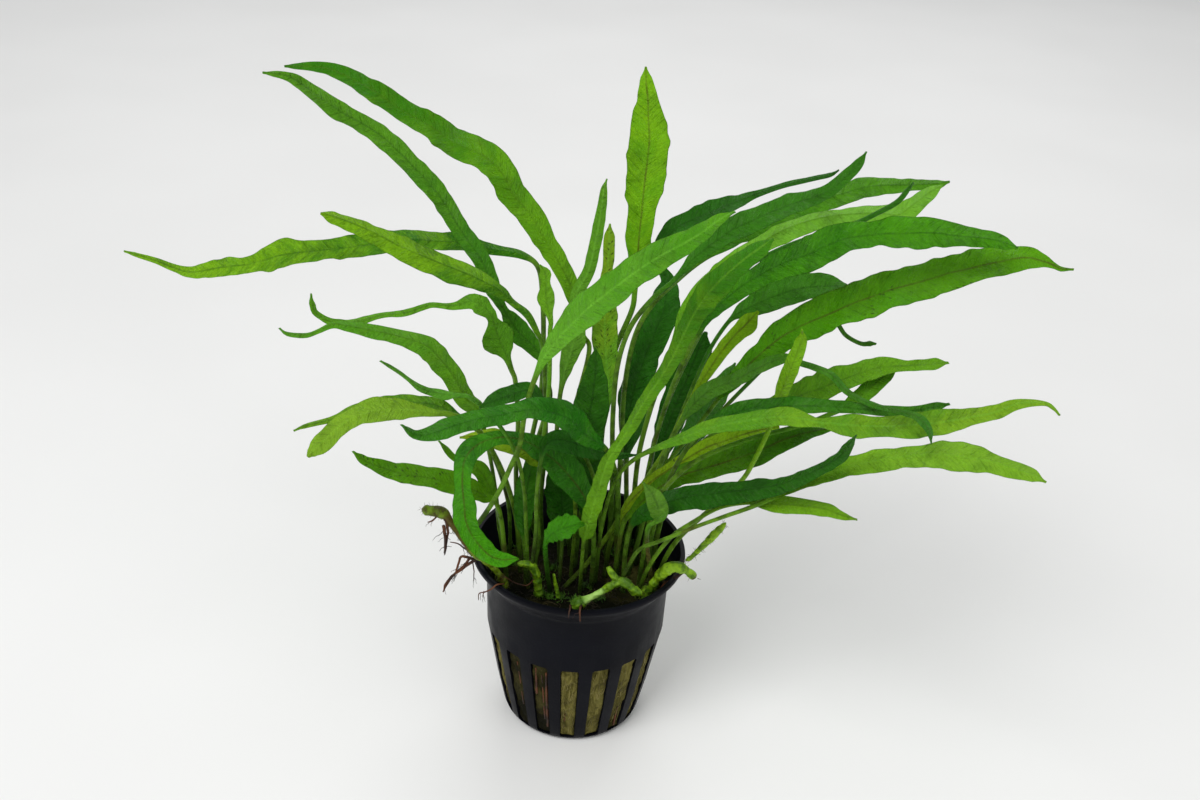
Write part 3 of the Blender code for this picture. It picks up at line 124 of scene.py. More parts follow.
# Each leaf: name, slot, look, depth of its tip, bend, foot, route.
# A look is its tip colour and lower colour (display values 0 to 255), painted sheen 0 to 1,
# midrib and specks 0 to 1. The tip and lower colours hold the light each leaf is in: the dark
# leaves at the back and inside carry painted shade, and the brightly lit ones painted light.
# Bend over 1 keeps the lower part upright and lets the tip lean.
# The foot is x, y on the rock wool, or x, y, z on a rhizome.
# The route runs from tip to stalk as x, z, width.
LEAVES = [
    ("leaf_left_top_long", BRIGHT, ((50, 116, 8), (104, 158, 24), 0.25, PLAIN, 0.1), 42, 1.6, (-2, 9.5), [
        (-64, 163, 0.8), (-57, 163, 2), (-53, 162, 3), (-47, 159, 4), (-40, 154.5, 4.6),
        (-34.5, 151.5, 5.5), (-30, 148.5, 6), (-24, 146, 6), (-20, 142, 6), (-18, 138, 6),
        (-14.5, 134, 5.5), (-11, 128, 4.5), (-7, 121.5, 4), (-4.4, 116, 3.5), (-1.8, 106, 1.6),
        (-0.1, 101.3, 1.5), (-3, 85, 1.4), (-5.5, 68.8, 1.4), (-4.5, 60, 1.4), (-3, 53, 1.4)]),
    ("leaf_left_top_short", MID, ((84, 140, 30), (62, 124, 26), 0.5, PLAIN, 0.1), 18, 1.5, (-9.5, 9.5), [
        (-68.5, 161.5, 0.8), (-64, 161, 1.5), (-61, 159.5, 2.5), (-54, 154.5, 3.5), (-45.7, 149.7, 4.2),
        (-39, 143.3, 4.2), (-33.5, 137, 4.2), (-29, 129.5, 4.1), (-24.4, 122.4, 4), (-22, 116, 3.5),
        (-19.5, 111, 1.9), (-18.4, 109.1, 3.5), (-16.3, 105.8, 5), (-14, 103.5, 4.5), (-10.7, 99.3, 2.6),
        (-9.2, 93.3, 1.5), (-8.6, 88, 1.4), (-11.5, 75, 1.4), (-13, 64, 1.4), (-12, 55.6, 1.4)]),
    ("leaf_left_far", MID, ((122, 172, 26), (44, 108, 12), 0.2, PLAIN, 0.1), 36, 1.5, (-12.5, 13), [
        (-101, 121, 0.6), (-94.5, 119, 1.2), (-90, 117.2, 1.8), (-86.6, 116.7, 2.8), (-79.3, 118.3, 4),
        (-75.5, 118.9, 3.2), (-71.5, 120, 4.3), (-67.6, 121.5, 6.7), (-63.7, 122.3, 5), (-56, 123.5, 4.5),
        (-48, 125, 5), (-40, 126.5, 4.3), (-34, 126.4, 4), (-29, 126.4, 3.5), (-22, 125.1, 2.7),
        (-15.8, 124.2, 2.4), (-12.1, 121.5, 1.5), (-10.9, 114, 1.4), (-10.4, 103, 1.4), (-10.6, 90, 1.4),
        (-12.5, 77, 1.4), (-13.5, 66, 1.4)]),
    ("leaf_left_dark", DARK, ((116, 164, 22), (42, 104, 16), 0.35, PLAIN, 0.1), 0, 1.4, (-6.8, 3.6), [
        (-58.5, 131.8, 0.8), (-57.3, 131.5, 2.5), (-50, 129, 3.5), (-43.2, 125.6, 4.5), (-38.6, 123.5, 5),
        (-29.5, 119.8, 5.5), (-25, 118, 4.6), (-20.4, 115.5, 3), (-17.3, 112.6, 2), (-14.2, 110, 2.2),
        (-12, 105.9, 2), (-10.6, 102, 1.5), (-9.6, 90, 1.4), (-9.1, 76, 1.4), (-9.7, 61.4, 1.4),
        (-9.3, 53.2, 1.4), (-8.3, 44.8, 1.4)]),
    ("leaf_left_small_upright", MID, ((104, 158, 36), (84, 142, 26), 0.3, PLAIN, 0.1), 10, 1.2, (-10, -1.7), [
        (-11.8, 122.1, 1), (-10.7, 120.4, 3), (-10.4, 118, 1.9), (-10.2, 114.7, 4), (-9.7, 111.7, 2.8),
        (-8.9, 108.4, 1.8), (-9, 105.4, 1.3), (-8.8, 92, 1.3), (-9.6, 78, 1.3), (-10.7, 62.6, 1.3),
        (-9.9, 49, 1.4), (-10.5, 42.6, 1.4)]),
    ("leaf_left_thin_wavy", MID, ((92, 150, 34), (84, 142, 32), 0.3, PLAIN, 0), -10, 1.3, (-15, 9), [
        (-61.5, 112.7, 0.8), (-61.5, 110.3, 1.2), (-60.6, 108, 1.1), (-57, 105.9, 1.2), (-51.2, 106.4, 1.5),
        (-46.2, 108.2, 1.2), (-40.9, 109, 1.2), (-35.6, 111.2, 1.1), (-30.6, 111.2, 1.3), (-26.4, 112.6, 3),
        (-24.6, 111.7, 3.5), (-22.5, 110, 2.5), (-21.8, 108.2, 1.9), (-21.2, 105.9, 5.8), (-20, 102.7, 5.2),
        (-18.7, 99.6, 2.6), (-17.4, 95.9, 1.8), (-16.4, 92.6, 1.5), (-15.6, 82, 1.4), (-15.8, 68, 1.4)]),
    ("leaf_left_low_behind", MID, ((112, 158, 40), (56, 118, 20), 0.3, PLAIN, 0.1), -18, 1.2, (-17, 6), [
        (-67.5, 77.4, 0.7), (-64.8, 78.7, 1), (-57.9, 81, 1.6), (-54.4, 82.8, 2.5), (-49, 84.8, 3),
        (-44, 86, 3), (-36, 86, 3.5), (-32, 84.5, 3), (-29, 83, 2), (-25.5, 80, 1.4), (-21, 72, 1.4),
        (-18, 62, 1.4), (-17, 54, 1.4)]),
    ("leaf_left_low_pale", PALE, ((128, 168, 52), (112, 158, 42), 0.2, LIGHT, 0.1), -34, 1.2, (-14.2, 1.5), [
        (-64.6, 70.4, 1), (-63.8, 71.5, 2.5), (-60.9, 74.7, 3.6), (-57.4, 78.5, 3.4), (-53.6, 81.5, 3.3),
        (-49, 83.6, 4.5), (-44.4, 84.2, 4), (-39.3, 84, 2.6), (-34.1, 83.7, 1.7), (-30.8, 83.5, 1.4),
        (-25.5, 80.5, 1.4), (-20.5, 72, 1.4), (-17, 62, 1.4), (-15, 52, 1.4)]),
    ("leaf_left_arch", BRIGHT, ((80, 142, 32), (98, 152, 36), 0.4, PLAIN, 0.1), -15, 1.2, (-17.9, 2.8), [
        (-68.9, 104, 0.7), (-67.3, 102.7, 1), (-63.2, 102.5, 1), (-60.5, 103.6, 0.9), (-57, 105.4, 1.5),
        (-53.9, 105.2, 2.4), (-48, 104.2, 3.6), (-44.5, 103.6, 3.5), (-37.4, 101.5, 4.6),
        (-34.6, 99.2, 5.4), (-32.4, 96.4, 5.2), (-30.6, 93.7, 4.6), (-27.7, 87.9, 4.2), (-25.1, 85.3, 3.5),
        (-23.5, 80, 2), (-22.5, 75.1, 1.5), (-21.4, 68.9, 1.4), (-20.2, 60, 1.4), (-19.6, 52.7, 1.4)]),
    ("leaf_left_hooked", PALE, ((88, 150, 50), (68, 128, 30), 0.5, PLAIN, 0), -28, 1.6, (-12, -4.8), [
        (-46.8, 96.8, 0.7), (-43, 94.3, 0.8), (-40.5, 92.2, 0.9), (-38.4, 90.3, 1.8), (-35.9, 89.3, 2.1),
        (-32.3, 88.7, 2.7), (-28.8, 88.7, 1.5), (-26.7, 88.2, 1.3), (-22, 84, 1.3), (-16.5, 75, 1.3),
        (-14, 65, 1.3), (-13, 52, 1.3)]),
    ("leaf_left_speckled", BRIGHT, ((84, 142, 14), (92, 146, 18), 0.2, PLAIN, 1), -15, 1.1, (-17.2, -4.8), [
        (-54, 72.4, 0.9), (-52.5, 70.8, 2), (-50.2, 69.2, 2.6), (-43.4, 66.7, 4.7), (-36.2, 65.6, 5),
        (-32.7, 64.7, 5.4), (-30.5, 64, 5.4), (-25.7, 62.7, 4.5), (-22.9, 61, 3), (-20.3, 59.2, 1.6),
        (-18.8, 52, 1.4)]),
    ("leaf_left_short", MID, ((92, 150, 26), (100, 156, 30), 0.3, PLAIN, 0.1), -5, 1.1, (-17.4, -0.8), [
        (-33.9, 76.2, 1), (-32.2, 73.8, 1.6), (-30.4, 71.6, 1.6), (-27.5, 70, 2.5), (-24.7, 68.5, 4),
        (-23.2, 66.4, 4), (-21.7, 62.8, 3), (-20.6, 60.4, 1.5), (-19.2, 53, 1.4)]),
    ("leaf_front_dark_arch", DARK, ((58, 124, 26), (32, 104, 8), 0.45, PLAIN, 0.1), -46, 1.5, (9.9, 0.5), [
        (-42.4, 80.2, 0.8), (-39.6, 77.7, 2), (-35.9, 77.9, 3.3), (-32.2, 79.6, 4.5), (-24.7, 82.5, 4.8),
        (-17.4, 84.4, 4.5), (-12.7, 85.5, 5), (-8, 85, 5.6), (-4, 83.5, 6.5), (-0.5, 79.8, 5), (3, 77.3, 3),
        (5.4, 75.3, 1.6), (7.8, 69, 1.4), (8.9, 60, 1.4), (9, 50, 1.4)]),
    ("leaf_centre_dark_short", DARK, ((40, 98, 16), (34, 92, 12), 0.3, PLAIN, 0.1), -26, 1.1, (4.8, 5), [
        (-24.5, 85.6, 1), (-22, 87, 3), (-18.9, 88.5, 4), (-15.9, 89.8, 4), (-13, 90.5, 3.4),
        (-9.5, 87.5, 2), (-4, 80, 1.4), (1, 72, 1.4), (4, 62, 1.4), (5, 52, 1.4)]),
    ("leaf_front_drooping", BRIGHT, ((70, 146, 14), (48, 112, 30), 0.5, BROWN, 0.1), -18, 0.8, (3.4, -4.2), [
        (-14.6, 43, 1), (-16, 42.8, 2.5), (-18.7, 42.5, 4), (-21.6, 43.5, 4.5), (-24.1, 46.3, 5),
        (-26.3, 49.8, 5), (-27.7, 54.1, 5.4), (-28, 58.4, 5.8), (-28.4, 63, 4.2), (-28.4, 67.2, 4.2),
        (-27.8, 71.3, 5.2), (-25.8, 74.6, 5.2), (-22.6, 76.9, 4), (-18.6, 77.8, 3.2), (-14.5, 77.2, 4),
        (-10.6, 75.1, 6), (-6.8, 71.9, 7.5), (-3.4, 68, 7.5), (-0.4, 63.8, 5.5), (1.8, 59.5, 3),
        (3, 54, 1.5), (3.6, 48, 1.4)]),
    ("leaf_centre_low_dark", DARK, ((38, 96, 24), (30, 88, 12), 0.5, PLAIN, 0.1),
     -20, 1, (-11, -10.6, 50.7), [
        (12.4, 74.6, 0.9), (8.2, 74.1, 1.8), (4.2, 74.7, 3), (0.4, 75.8, 4.4), (-3.4, 77.3, 5.4),
        (-6.6, 77.8, 5), (-8.8, 76.4, 3.4), (-9.8, 73.4, 2), (-10.4, 68, 1.5), (-10.8, 60, 1.4),
        (-10.6, 52, 1.4)]),
    ("leaf_centre_low_left", MID, ((58, 118, 22), (46, 104, 14), 0.3, PLAIN, 0.1), -3, 1, (-12.6, -3.2), [
        (-11.4, 76, 1.2), (-11.8, 72.5, 3), (-12.5, 68, 4.6), (-13.2, 63, 5.6), (-13.8, 58, 5.2),
        (-13.8, 53.5, 3.6), (-13.4, 49, 1.8), (-13, 44, 1.4)]),
    ("leaf_centre_low_middle", DARK, ((36, 90, 14), (28, 78, 9), 0.3, PLAIN, 0.1), 2, 1, (-4.4, -1.6), [
        (-5.8, 74, 2), (-5.6, 70.5, 5), (-5.2, 66, 7), (-4.8, 61, 7.4), (-4.5, 56.5, 6), (-4.3, 52.5, 3.4),
        (-4.2, 48.5, 1.5)]),
    ("leaf_centre_yellow", YELLOW, ((140, 176, 34), (112, 154, 26), 0.1, BROWN, 0.1), -5, 1, (-1.6, 0.4), [
        (-29.1, 77.4, 1), (-24.7, 77.8, 2.5), (-20.6, 77.2, 5), (-15.8, 75.2, 4.5), (-13.2, 73.8, 4),
        (-11.2, 71.7, 3), (-7.5, 70, 1.5), (-3.5, 67, 1.4), (-1.6, 61, 1.4), (-1.3, 52, 1.4)]),
    ("leaf_centre_upright_slim", MID, ((84, 140, 30), (104, 160, 58), 0.3, LIGHT, 0.1),
     20, 1.3, (-4.6, 6.6), [
        (1.7, 142.4, 0.8), (1.2, 140, 1.5), (0.9, 135.4, 2.3), (0.4, 130.8, 2.6), (-1, 121.5, 2.6),
        (-3.3, 116, 2.8), (-3.6, 112, 3.5), (-3.5, 108, 4.5), (-3.6, 104, 5), (-4.4, 100, 4),
        (-5.2, 96.6, 3), (-6.2, 89.5, 1.6), (-6.6, 78, 1.4), (-6.2, 64, 1.4), (-5, 50, 1.4)]),
    ("leaf_centre_upright_spotted", YELLOW, ((132, 168, 40), (98, 162, 46), 0.2, LIGHT, 0.9),
     28, 1.3, (-0.6, 4.6), [
        (2.9, 132.4, 1), (2.9, 129.5, 2.4), (3, 125, 2.5), (2.9, 121, 2.6), (2.9, 116, 4),
        (2.9, 111.2, 5.5), (3.2, 106, 5.8), (3.7, 101, 5.5), (4.2, 96.9, 4.5), (4.7, 92.7, 3.5),
        (4.6, 86, 1.8), (3, 76, 1.4), (0.5, 62, 1.4), (-0.4, 50, 1.4)]),
    ("leaf_centre_tall", YELLOW, ((118, 170, 22), (82, 148, 16), 0.1, BROWN, 0.2), 46, 1.4, (3, 11), [
        (8.2, 166.5, 0.9), (8.5, 163.3, 3), (9.1, 159.6, 4.7), (9.5, 155.5, 7), (10, 150.6, 8.7),
        (9.6, 140.6, 8), (9.5, 135.4, 5.6), (9.3, 129.8, 5.5), (9.3, 124.8, 4.5), (9.2, 117, 1.5),
        (8.8, 112, 1.4), (6, 103.2, 1.4), (5, 96, 1.4), (4, 82, 1.4), (3.8, 68, 1.4), (3.2, 56, 1.4)]),
    ("leaf_front_big_pale", PALE, ((74, 140, 24), (108, 172, 56), 0.5, LIGHT, 0),
     -34, 1, (-26.6, -8.4, 55.7), [
        (29.2, 136.4, 0.8), (25.9, 134.1, 2.5), (22.3, 130.8, 4), (18.5, 128.1, 5.5), (12.2, 123.8, 6.5),
        (6, 118.4, 7), (-0.8, 112, 7), (-3.7, 108.4, 6), (-6.2, 105.4, 5), (-8.5, 101.8, 3.6),
        (-10.5, 98.5, 2.6), (-12.8, 91.2, 1.6), (-14.2, 84, 1.5), (-15.1, 76, 1.5), (-17.2, 69.6, 1.5),
        (-19.4, 63.6, 1.5), (-22, 58, 1.5), (-24.8, 53, 1.5)]),
    ("leaf_right_upper_dark", DARK, ((54, 114, 26), (56, 118, 26), 0.5, PLAIN, 0), 26, 1.3, (7.2, 9), [
        (55.2, 151, 0.8), (54.2, 148.7, 2), (52.4, 146, 2.5), (47.7, 141.4, 3), (39.9, 138, 4.6),
        (31.9, 133.7, 5), (28.2, 131.4, 4.5), (22, 125.7, 3), (20, 123.1, 2.5), (16.9, 119, 1.5),
        (13.4, 115.4, 1.4), (8.8, 108, 1.4), (6.5, 98, 1.4), (6.2, 84, 1.4), (7, 68, 1.4), (7.2, 54, 1.4)]),
    ("leaf_right_upper_back", DARK, ((38, 96, 14), (44, 106, 26), 0.3, PLAIN, 0.2), 56, 1.5, (10.6, 13.5), [
        (50, 146.7, 0.7), (47.9, 145.4, 1), (40, 143.1, 1.2), (33.8, 140.7, 1.6), (26, 136.9, 4.5),
        (19.3, 133.4, 4), (16.6, 131.5, 4.5), (14.2, 127.6, 3.5), (14.5, 123, 2.2), (16.3, 119.6, 3.5),
        (16.1, 115.9, 6), (15.8, 112.2, 7), (14.4, 107.2, 7), (13, 102.4, 6.6), (11.6, 96.6, 6.8),
        (10.4, 90.6, 6.4), (9.8, 84.6, 5), (9.8, 78, 3), (10.2, 70, 1.5), (10.8, 58, 1.4)]),
    ("leaf_right_light_arch", BRIGHT, ((114, 172, 66), (98, 158, 24), 0.4, PLAIN, 0), 10, 1.2, (12.4, 9.2), [
        (72.3, 144.4, 1), (71.1, 143.6, 2.4), (68.9, 141.7, 3.4), (66.5, 139.3, 4.5), (63.9, 137.3, 5),
        (58, 137.4, 4.5), (47.5, 135.7, 4), (39.7, 132.3, 4.5), (33.9, 127.8, 4.5), (29, 123.2, 5),
        (24.6, 118.2, 5), (21, 112, 4), (19.4, 107, 2.4), (17, 97, 1.4), (14.5, 86, 1.4), (12.8, 74, 1.4),
        (12.4, 60, 1.4)]),
    ("leaf_right_upper_slim", MID, ((80, 140, 26), (60, 124, 22), 0.4, PLAIN, 0), 44, 1.4, (7.6, 15.6), [
        (73.6, 145.3, 0.8), (70.9, 144.6, 1.8), (64.1, 144, 2.5), (57, 143.3, 3.7), (50.4, 141, 4),
        (43.9, 138.1, 4), (37.6, 135.3, 4), (31.5, 131.6, 3.5), (28.4, 129.3, 3), (23.3, 125.1, 2),
        (18.5, 120.2, 1.5), (13, 113.3, 1.4), (9.8, 105, 1.4), (8.4, 92, 1.4), (8.6, 76, 1.4),
        (8.4, 60, 1.4)]),
    ("leaf_right_thin_dark", DARK, ((52, 114, 24), (42, 104, 18), 0.5, PLAIN, 0), -2, 1.2, (14.6, 12.6), [
        (66, 144.7, 0.9), (64.9, 142.6, 1.8), (63.2, 140.1, 2), (59, 137.2, 1.6), (54, 134.3, 2),
        (46.3, 131.3, 2), (39.5, 128, 2), (33, 123.5, 1.6), (28, 116, 1.4), (24, 106, 1.4), (20, 94, 1.4),
        (17, 82, 1.4), (15.5, 68, 1.4)]),
    ("leaf_right_broad_arch", BRIGHT, ((70, 138, 10), (42, 106, 10), 0.25, PLAIN, 0.1), -14, 1, (14.8, 6.6), [
        (91, 130.9, 0.8), (89.9, 131.3, 1.8), (85.7, 132.4, 3.5), (78.4, 133, 4.5), (71.1, 133.4, 6),
        (64, 132.9, 6.5), (60.5, 132.5, 5.2), (53.5, 131.2, 6), (47, 127.7, 8), (40.6, 124.6, 6),
        (34.3, 120.5, 5), (29.4, 115.8, 4), (25.4, 110.6, 2.6), (22, 102, 1.4), (19, 92, 1.4),
        (16.6, 80, 1.4), (15, 66, 1.4), (14.6, 54, 1.4)]),
    ("leaf_front_long_strip", BRIGHT, ((58, 124, 18), (104, 156, 34), 0.35, LIGHT, 0.1),
     -20, 0.5, (0.6, -6), [
        (38, 130.6, 1.2), (36.6, 129.2, 3), (33.7, 126.7, 4), (30.6, 123.6, 5), (26, 117.9, 6),
        (22.8, 112, 5.2), (20.6, 106, 4.4), (18.5, 100, 3.8), (16.3, 95, 3.6), (13.7, 90, 3.2),
        (11.5, 85, 3.2), (9.4, 80, 2.9), (7.2, 75.6, 2.6), (5.4, 71.3, 3.5), (3.7, 63.2, 4), (2.4, 57, 3.8),
        (1.4, 51.2, 3.4), (1, 48.4, 1.6)]),
    ("leaf_right_largest", BRIGHT, ((90, 152, 12), (76, 144, 12), 0.15, BROWN, 0.3), -8, 1, (10.4, 5.6), [
        (104.3, 126.6, 0.8), (101.6, 126.5, 1), (99.7, 127.2, 1.3), (96.8, 128.1, 3), (92, 128.5, 5.8),
        (81.5, 125.6, 7), (71.3, 121.9, 8.3), (60.9, 117.7, 8.8), (51.6, 112.6, 8.2), (44.2, 108.2, 6.8),
        (38.7, 102.7, 5.2), (34, 96.7, 3.8), (31.2, 93, 3), (29.2, 89, 1.6), (24.5, 80.5, 1.4),
        (18.8, 71, 1.4), (13.6, 61, 1.4), (11.5, 52, 1.4)]),
    ("leaf_right_round_tip", PALE, ((70, 132, 40), (50, 114, 12), 0.5, PLAIN, 0.1), 12, 1.1, (15.6, 3.4), [
        (55.6, 120.3, 1.5), (54.6, 120.2, 3), (51.2, 119.9, 5), (46.3, 119.2, 5.7), (41.3, 117.5, 6.5),
        (36.6, 115, 5), (32.7, 112.6, 3), (30, 109.6, 1.6), (26.5, 102, 1.4), (23, 90, 1.4), (20, 78, 1.4),
        (18, 64, 1.4)]),
    ("leaf_right_low_long", BRIGHT, ((124, 166, 42), (88, 146, 36), 0.25, LIGHT, 0.2), -35, 1, (4.4, -2.2), [
        (109.4, 89.9, 0.7), (107.6, 91.6, 0.8), (105.1, 92.8, 1), (99.3, 92.4, 2.4), (94, 89.7, 3.6),
        (86.1, 87.5, 5), (78, 85.7, 5.8), (69.7, 85, 5), (61.3, 84.8, 5), (57, 85.1, 3.4),
        (53.7, 85.3, 2.2), (48.8, 86.2, 4), (43.4, 86.2, 4.5), (35.6, 84.5, 4), (28.6, 82.6, 3.6),
        (21.8, 79.1, 2.8), (16.4, 76.4, 2.2), (12, 73.4, 1.8), (8.6, 69, 1.5), (6.4, 62, 1.4),
        (5, 51, 1.4)]),
    ("leaf_right_dark_arch", DARK, ((64, 122, 32), (38, 100, 14), 0.5, PLAIN, 0), -30, 1, (17, 1.4), [
        (83.4, 91.7, 0.9), (80.9, 90.8, 2), (74.1, 89.1, 2.2), (65.6, 89.1, 2.5), (57.3, 89.5, 3),
        (49.1, 89.4, 3.8), (41.3, 88.6, 4.2), (37.7, 88.2, 4.5), (31.9, 85.6, 3.5), (27.6, 82.4, 1.8),
        (23.5, 76, 1.4), (20, 66, 1.4), (17.8, 54, 1.4)]),
    ("leaf_right_thin_crossing", PALE, ((48, 112, 20), (84, 138, 48), 0.6, PLAIN, 0), -45, 3, (12.8, 2.6), [
        (81, 81.1, 0.7), (80, 83.9, 1.5), (78.3, 86.3, 2.2), (76, 88.1, 1.8), (72.4, 89, 1.3),
        (65.4, 90.7, 1.4), (59.4, 93.7, 1.6), (54.7, 98.2, 1.6), (47.6, 100.7, 1.4), (44, 101.6, 2),
        (38.4, 98.9, 3), (33.5, 95.5, 3.5), (28.1, 92.6, 4), (24.3, 88.3, 3), (21.4, 82.4, 1.6),
        (18.6, 74, 1.4), (16, 62, 1.4), (14.4, 50, 1.4)]),
    ("leaf_right_middle_arch", MID, ((104, 156, 38), (84, 142, 26), 0.3, PLAIN, 0.2), -20, 1.6, (18.6, 4.8), [
        (81.2, 102.4, 0.8), (78.5, 101.8, 2.6), (72.1, 101, 2.5), (65.6, 100.2, 4.5), (59.5, 97.6, 5.5),
        (53.3, 94.3, 6.5), (50.2, 92.8, 6.5), (46.4, 90.8, 6), (42.5, 89, 4), (36, 86, 2), (27, 78, 1.4),
        (22, 68, 1.4), (19.4, 56, 1.4)]),
    ("leaf_right_middle_short", MID, ((84, 138, 24), (76, 130, 22), 0.3, PLAIN, 0.1), -12, 1, (14.8, -4.4), [
        (69.4, 101, 1), (68.7, 99.4, 2.5), (65.8, 96.6, 4), (63.7, 93.9, 4), (61.5, 91.7, 3.5),
        (57.5, 88.5, 2), (50, 84.5, 1.4), (38, 80, 1.4), (27, 74, 1.4), (20, 66, 1.4), (17, 58, 1.4)]),
    ("leaf_right_upright_narrow", YELLOW, ((120, 172, 30), (128, 176, 36), 0.2, PLAIN, 0.1),
     -20, 1.3, (18.4, -3.6), [
        (47, 109.1, 1), (47.2, 106.2, 2.6), (45.5, 98.3, 3.9), (44.6, 94.2, 3.5), (44.1, 91.1, 3),
        (43.5, 86.4, 1.6), (42.4, 82, 1.4), (40, 74, 1.4), (37.4, 68, 1.4), (31, 60, 1.4), (23, 49, 1.4)]),
    ("leaf_right_low_front", BRIGHT, ((122, 168, 50), (96, 150, 26), 0.2, LIGHT, 0.2),
     -46, 1, (10.4, -16.4, 52.3), [
        (110.3, 71.4, 0.8), (109.2, 71.9, 1.4), (105.4, 73.6, 3.5), (96.7, 76.2, 5), (92.3, 77.1, 6.4),
        (87.9, 77.6, 7.3), (83.7, 77.8, 7.2), (79.4, 77.5, 5.5), (71.1, 76, 5.2), (62.9, 73.4, 4.9),
        (54.9, 70, 4), (48.9, 66.8, 3), (42.1, 61.8, 2), (35, 58.2, 1.8), (29, 55.2, 1.5), (24, 52.4, 1.4),
        (19, 49.7, 1.4), (14.6, 47, 1.4)]),
    ("leaf_right_low_short", MID, ((112, 160, 34), (104, 154, 30), 0.1, PLAIN, 0.1), -36, 1, (14.4, -7.6), [
        (66.8, 58.6, 0.9), (62.5, 59.6, 2), (58.6, 61.1, 3.2), (51, 61.9, 4.4), (47.3, 61.9, 4.4),
        (43.6, 62.3, 3), (39.9, 62.4, 2), (33.3, 60.6, 1.5), (27.4, 56.2, 1.4), (22, 51, 1.4),
        (17.4, 42, 1.4)]),
    ("leaf_right_low_dark", DARK, ((38, 94, 14), (30, 84, 9), 0.3, PLAIN, 0.1), -44, 1, (11.2, -5), [
        (63, 82.2, 0.8), (61.4, 78.5, 2.5), (59.6, 75.6, 3), (53.6, 71.1, 3.2), (46.7, 67.6, 4),
        (39.5, 65.8, 5.2), (32.2, 64.4, 5.8), (24.9, 62.9, 5.6), (21, 61.6, 5.6), (17.2, 59.6, 5),
        (14, 57, 3.4), (12.2, 53.4, 1.8), (11.4, 46, 1.4)]),
    ("leaf_right_inner_arch", BRIGHT, ((66, 124, 12), (80, 132, 12), 0.2, BROWN, 0.2), -13, 1, (8.8, -2.4), [
        (57.8, 83.6, 0.8), (56.6, 83.5, 1.5), (53.1, 82.9, 3), (46.3, 80.1, 5.5), (39.5, 76.1, 6.5),
        (32.5, 73, 6), (25.5, 70.1, 5), (21.9, 68.2, 4.4), (19, 66, 4), (15.6, 62.6, 3.4),
        (12.4, 58.2, 2.4), (10.2, 53.4, 1.5)]),
    ("leaf_right_inner_yellow", YELLOW, ((130, 174, 28), (136, 170, 32), 0.1, BROWN, 0.3),
     -2, 1, (-2.6, -3.5), [
        (45, 83.6, 1.2), (43.4, 83.2, 3), (39.9, 82.3, 4), (36.4, 80.9, 4.5), (29.5, 77.7, 4),
        (26.1, 75.4, 3.5), (23.4, 73.2, 3.2), (20.2, 70.6, 3), (15.9, 66.6, 3), (11.6, 61, 2.6),
        (7.6, 52.6, 1.6), (2.4, 42.8, 1.4)]),
    ("leaf_right_yellow_slant", YELLOW, ((124, 170, 26), (132, 172, 30), 0.1, BROWN, 0.2),
     5, 1.1, (6.8, 1.2), [
        (36.8, 113.2, 1.4), (35.6, 111.4, 3.6), (34.3, 109.6, 4.4), (32.9, 107.8, 3.5), (30.5, 104.2, 3.3),
        (27, 97.4, 2.8), (24.1, 90.4, 2), (21.2, 82.4, 1.4), (18.5, 75.1, 1.4), (14.7, 67, 1.4),
        (10.6, 58, 1.4), (7.6, 49, 1.4)]),
    ("leaf_centre_broad_back", DARK, ((34, 90, 12), (28, 80, 9), 0.3, PLAIN, 0.2), 21, 1, (16.6, 9.4), [
        (25.8, 107.6, 2), (24.7, 103.9, 6.4), (23.4, 99.2, 8), (22.1, 93.9, 7.5), (20.6, 89, 7),
        (19.4, 84.1, 6.4), (18.4, 78.5, 5.2), (17.4, 72.5, 3.6), (16.7, 67, 1.8), (16.2, 60, 1.4)]),
    ("leaf_centre_round_dark", DARK, ((44, 100, 14), (30, 84, 9), 0.3, PLAIN, 0.1), -1, 1, (1.8, 2), [
        (1.2, 102.4, 0.9), (1.4, 101, 2.4), (1.5, 98, 3.8), (1.5, 94, 6), (1.3, 90, 7.6), (0.9, 86, 8.4),
        (0.4, 80, 8.4), (0.2, 74, 8), (0.4, 68, 7), (0.8, 62, 5), (1.3, 57, 2.6), (1.7, 52, 1.4)]),
    ("leaf_small_pale_triangle", PALE, ((96, 144, 46), (64, 118, 30), 0.4, PLAIN, 0.2),
     -22, 0.9, (17.2, -7.2), [
        (14.4, 67, 0.9), (15, 66, 1.6), (17.3, 62.6, 4.5), (18.7, 58.6, 4.4), (18.4, 55.9, 2.2),
        (16.4, 54, 1.4), (16.6, 49, 1.3), (17.4, 43.4, 1.3), (18.2, 38.6, 1.3)]),
    ("leaf_small_crinkled", BRIGHT, ((60, 130, 14), (46, 110, 10), 0.2, PLAIN, 0.1), -18, 0.7, (-6.6, -7.2), [
        (1, 54, 2), (-1, 53.8, 4), (-3, 53, 5.6), (-5.2, 52, 5), (-7.4, 50, 3), (-8.2, 47.4, 1.6),
        (-7.8, 42, 1.4)]),
    ("leaf_right_thin_curl", MID, ((62, 118, 20), (56, 112, 18), 0.3, PLAIN, 0), 4, 1, (18.2, 7), [
        (64.1, 106.4, 0.8), (62.9, 106.5, 2.5), (60.7, 106.3, 1.2), (57, 108.2, 1.1), (54, 111.5, 1.5),
        (50, 111, 2), (45, 106, 2), (38, 97, 1.4), (29, 84, 1.4), (22, 70, 1.4)]),
    ("leaf_back_centre", DARK, ((50, 110, 16), (40, 98, 14), 0.3, PLAIN, 0.2), 58, 1.8, (5.6, 17.6), [
        (11.3, 105, 1), (11.6, 101, 4), (12.2, 94, 6), (12.4, 88, 5.6), (11.4, 80, 3), (9, 70, 1.4),
        (6.6, 60, 1.4)]),
    ("leaf_back_right", DARK, ((56, 116, 18), (42, 100, 14), 0.3, PLAIN, 0.2), 52, 1.7, (10.9, 15.9), [
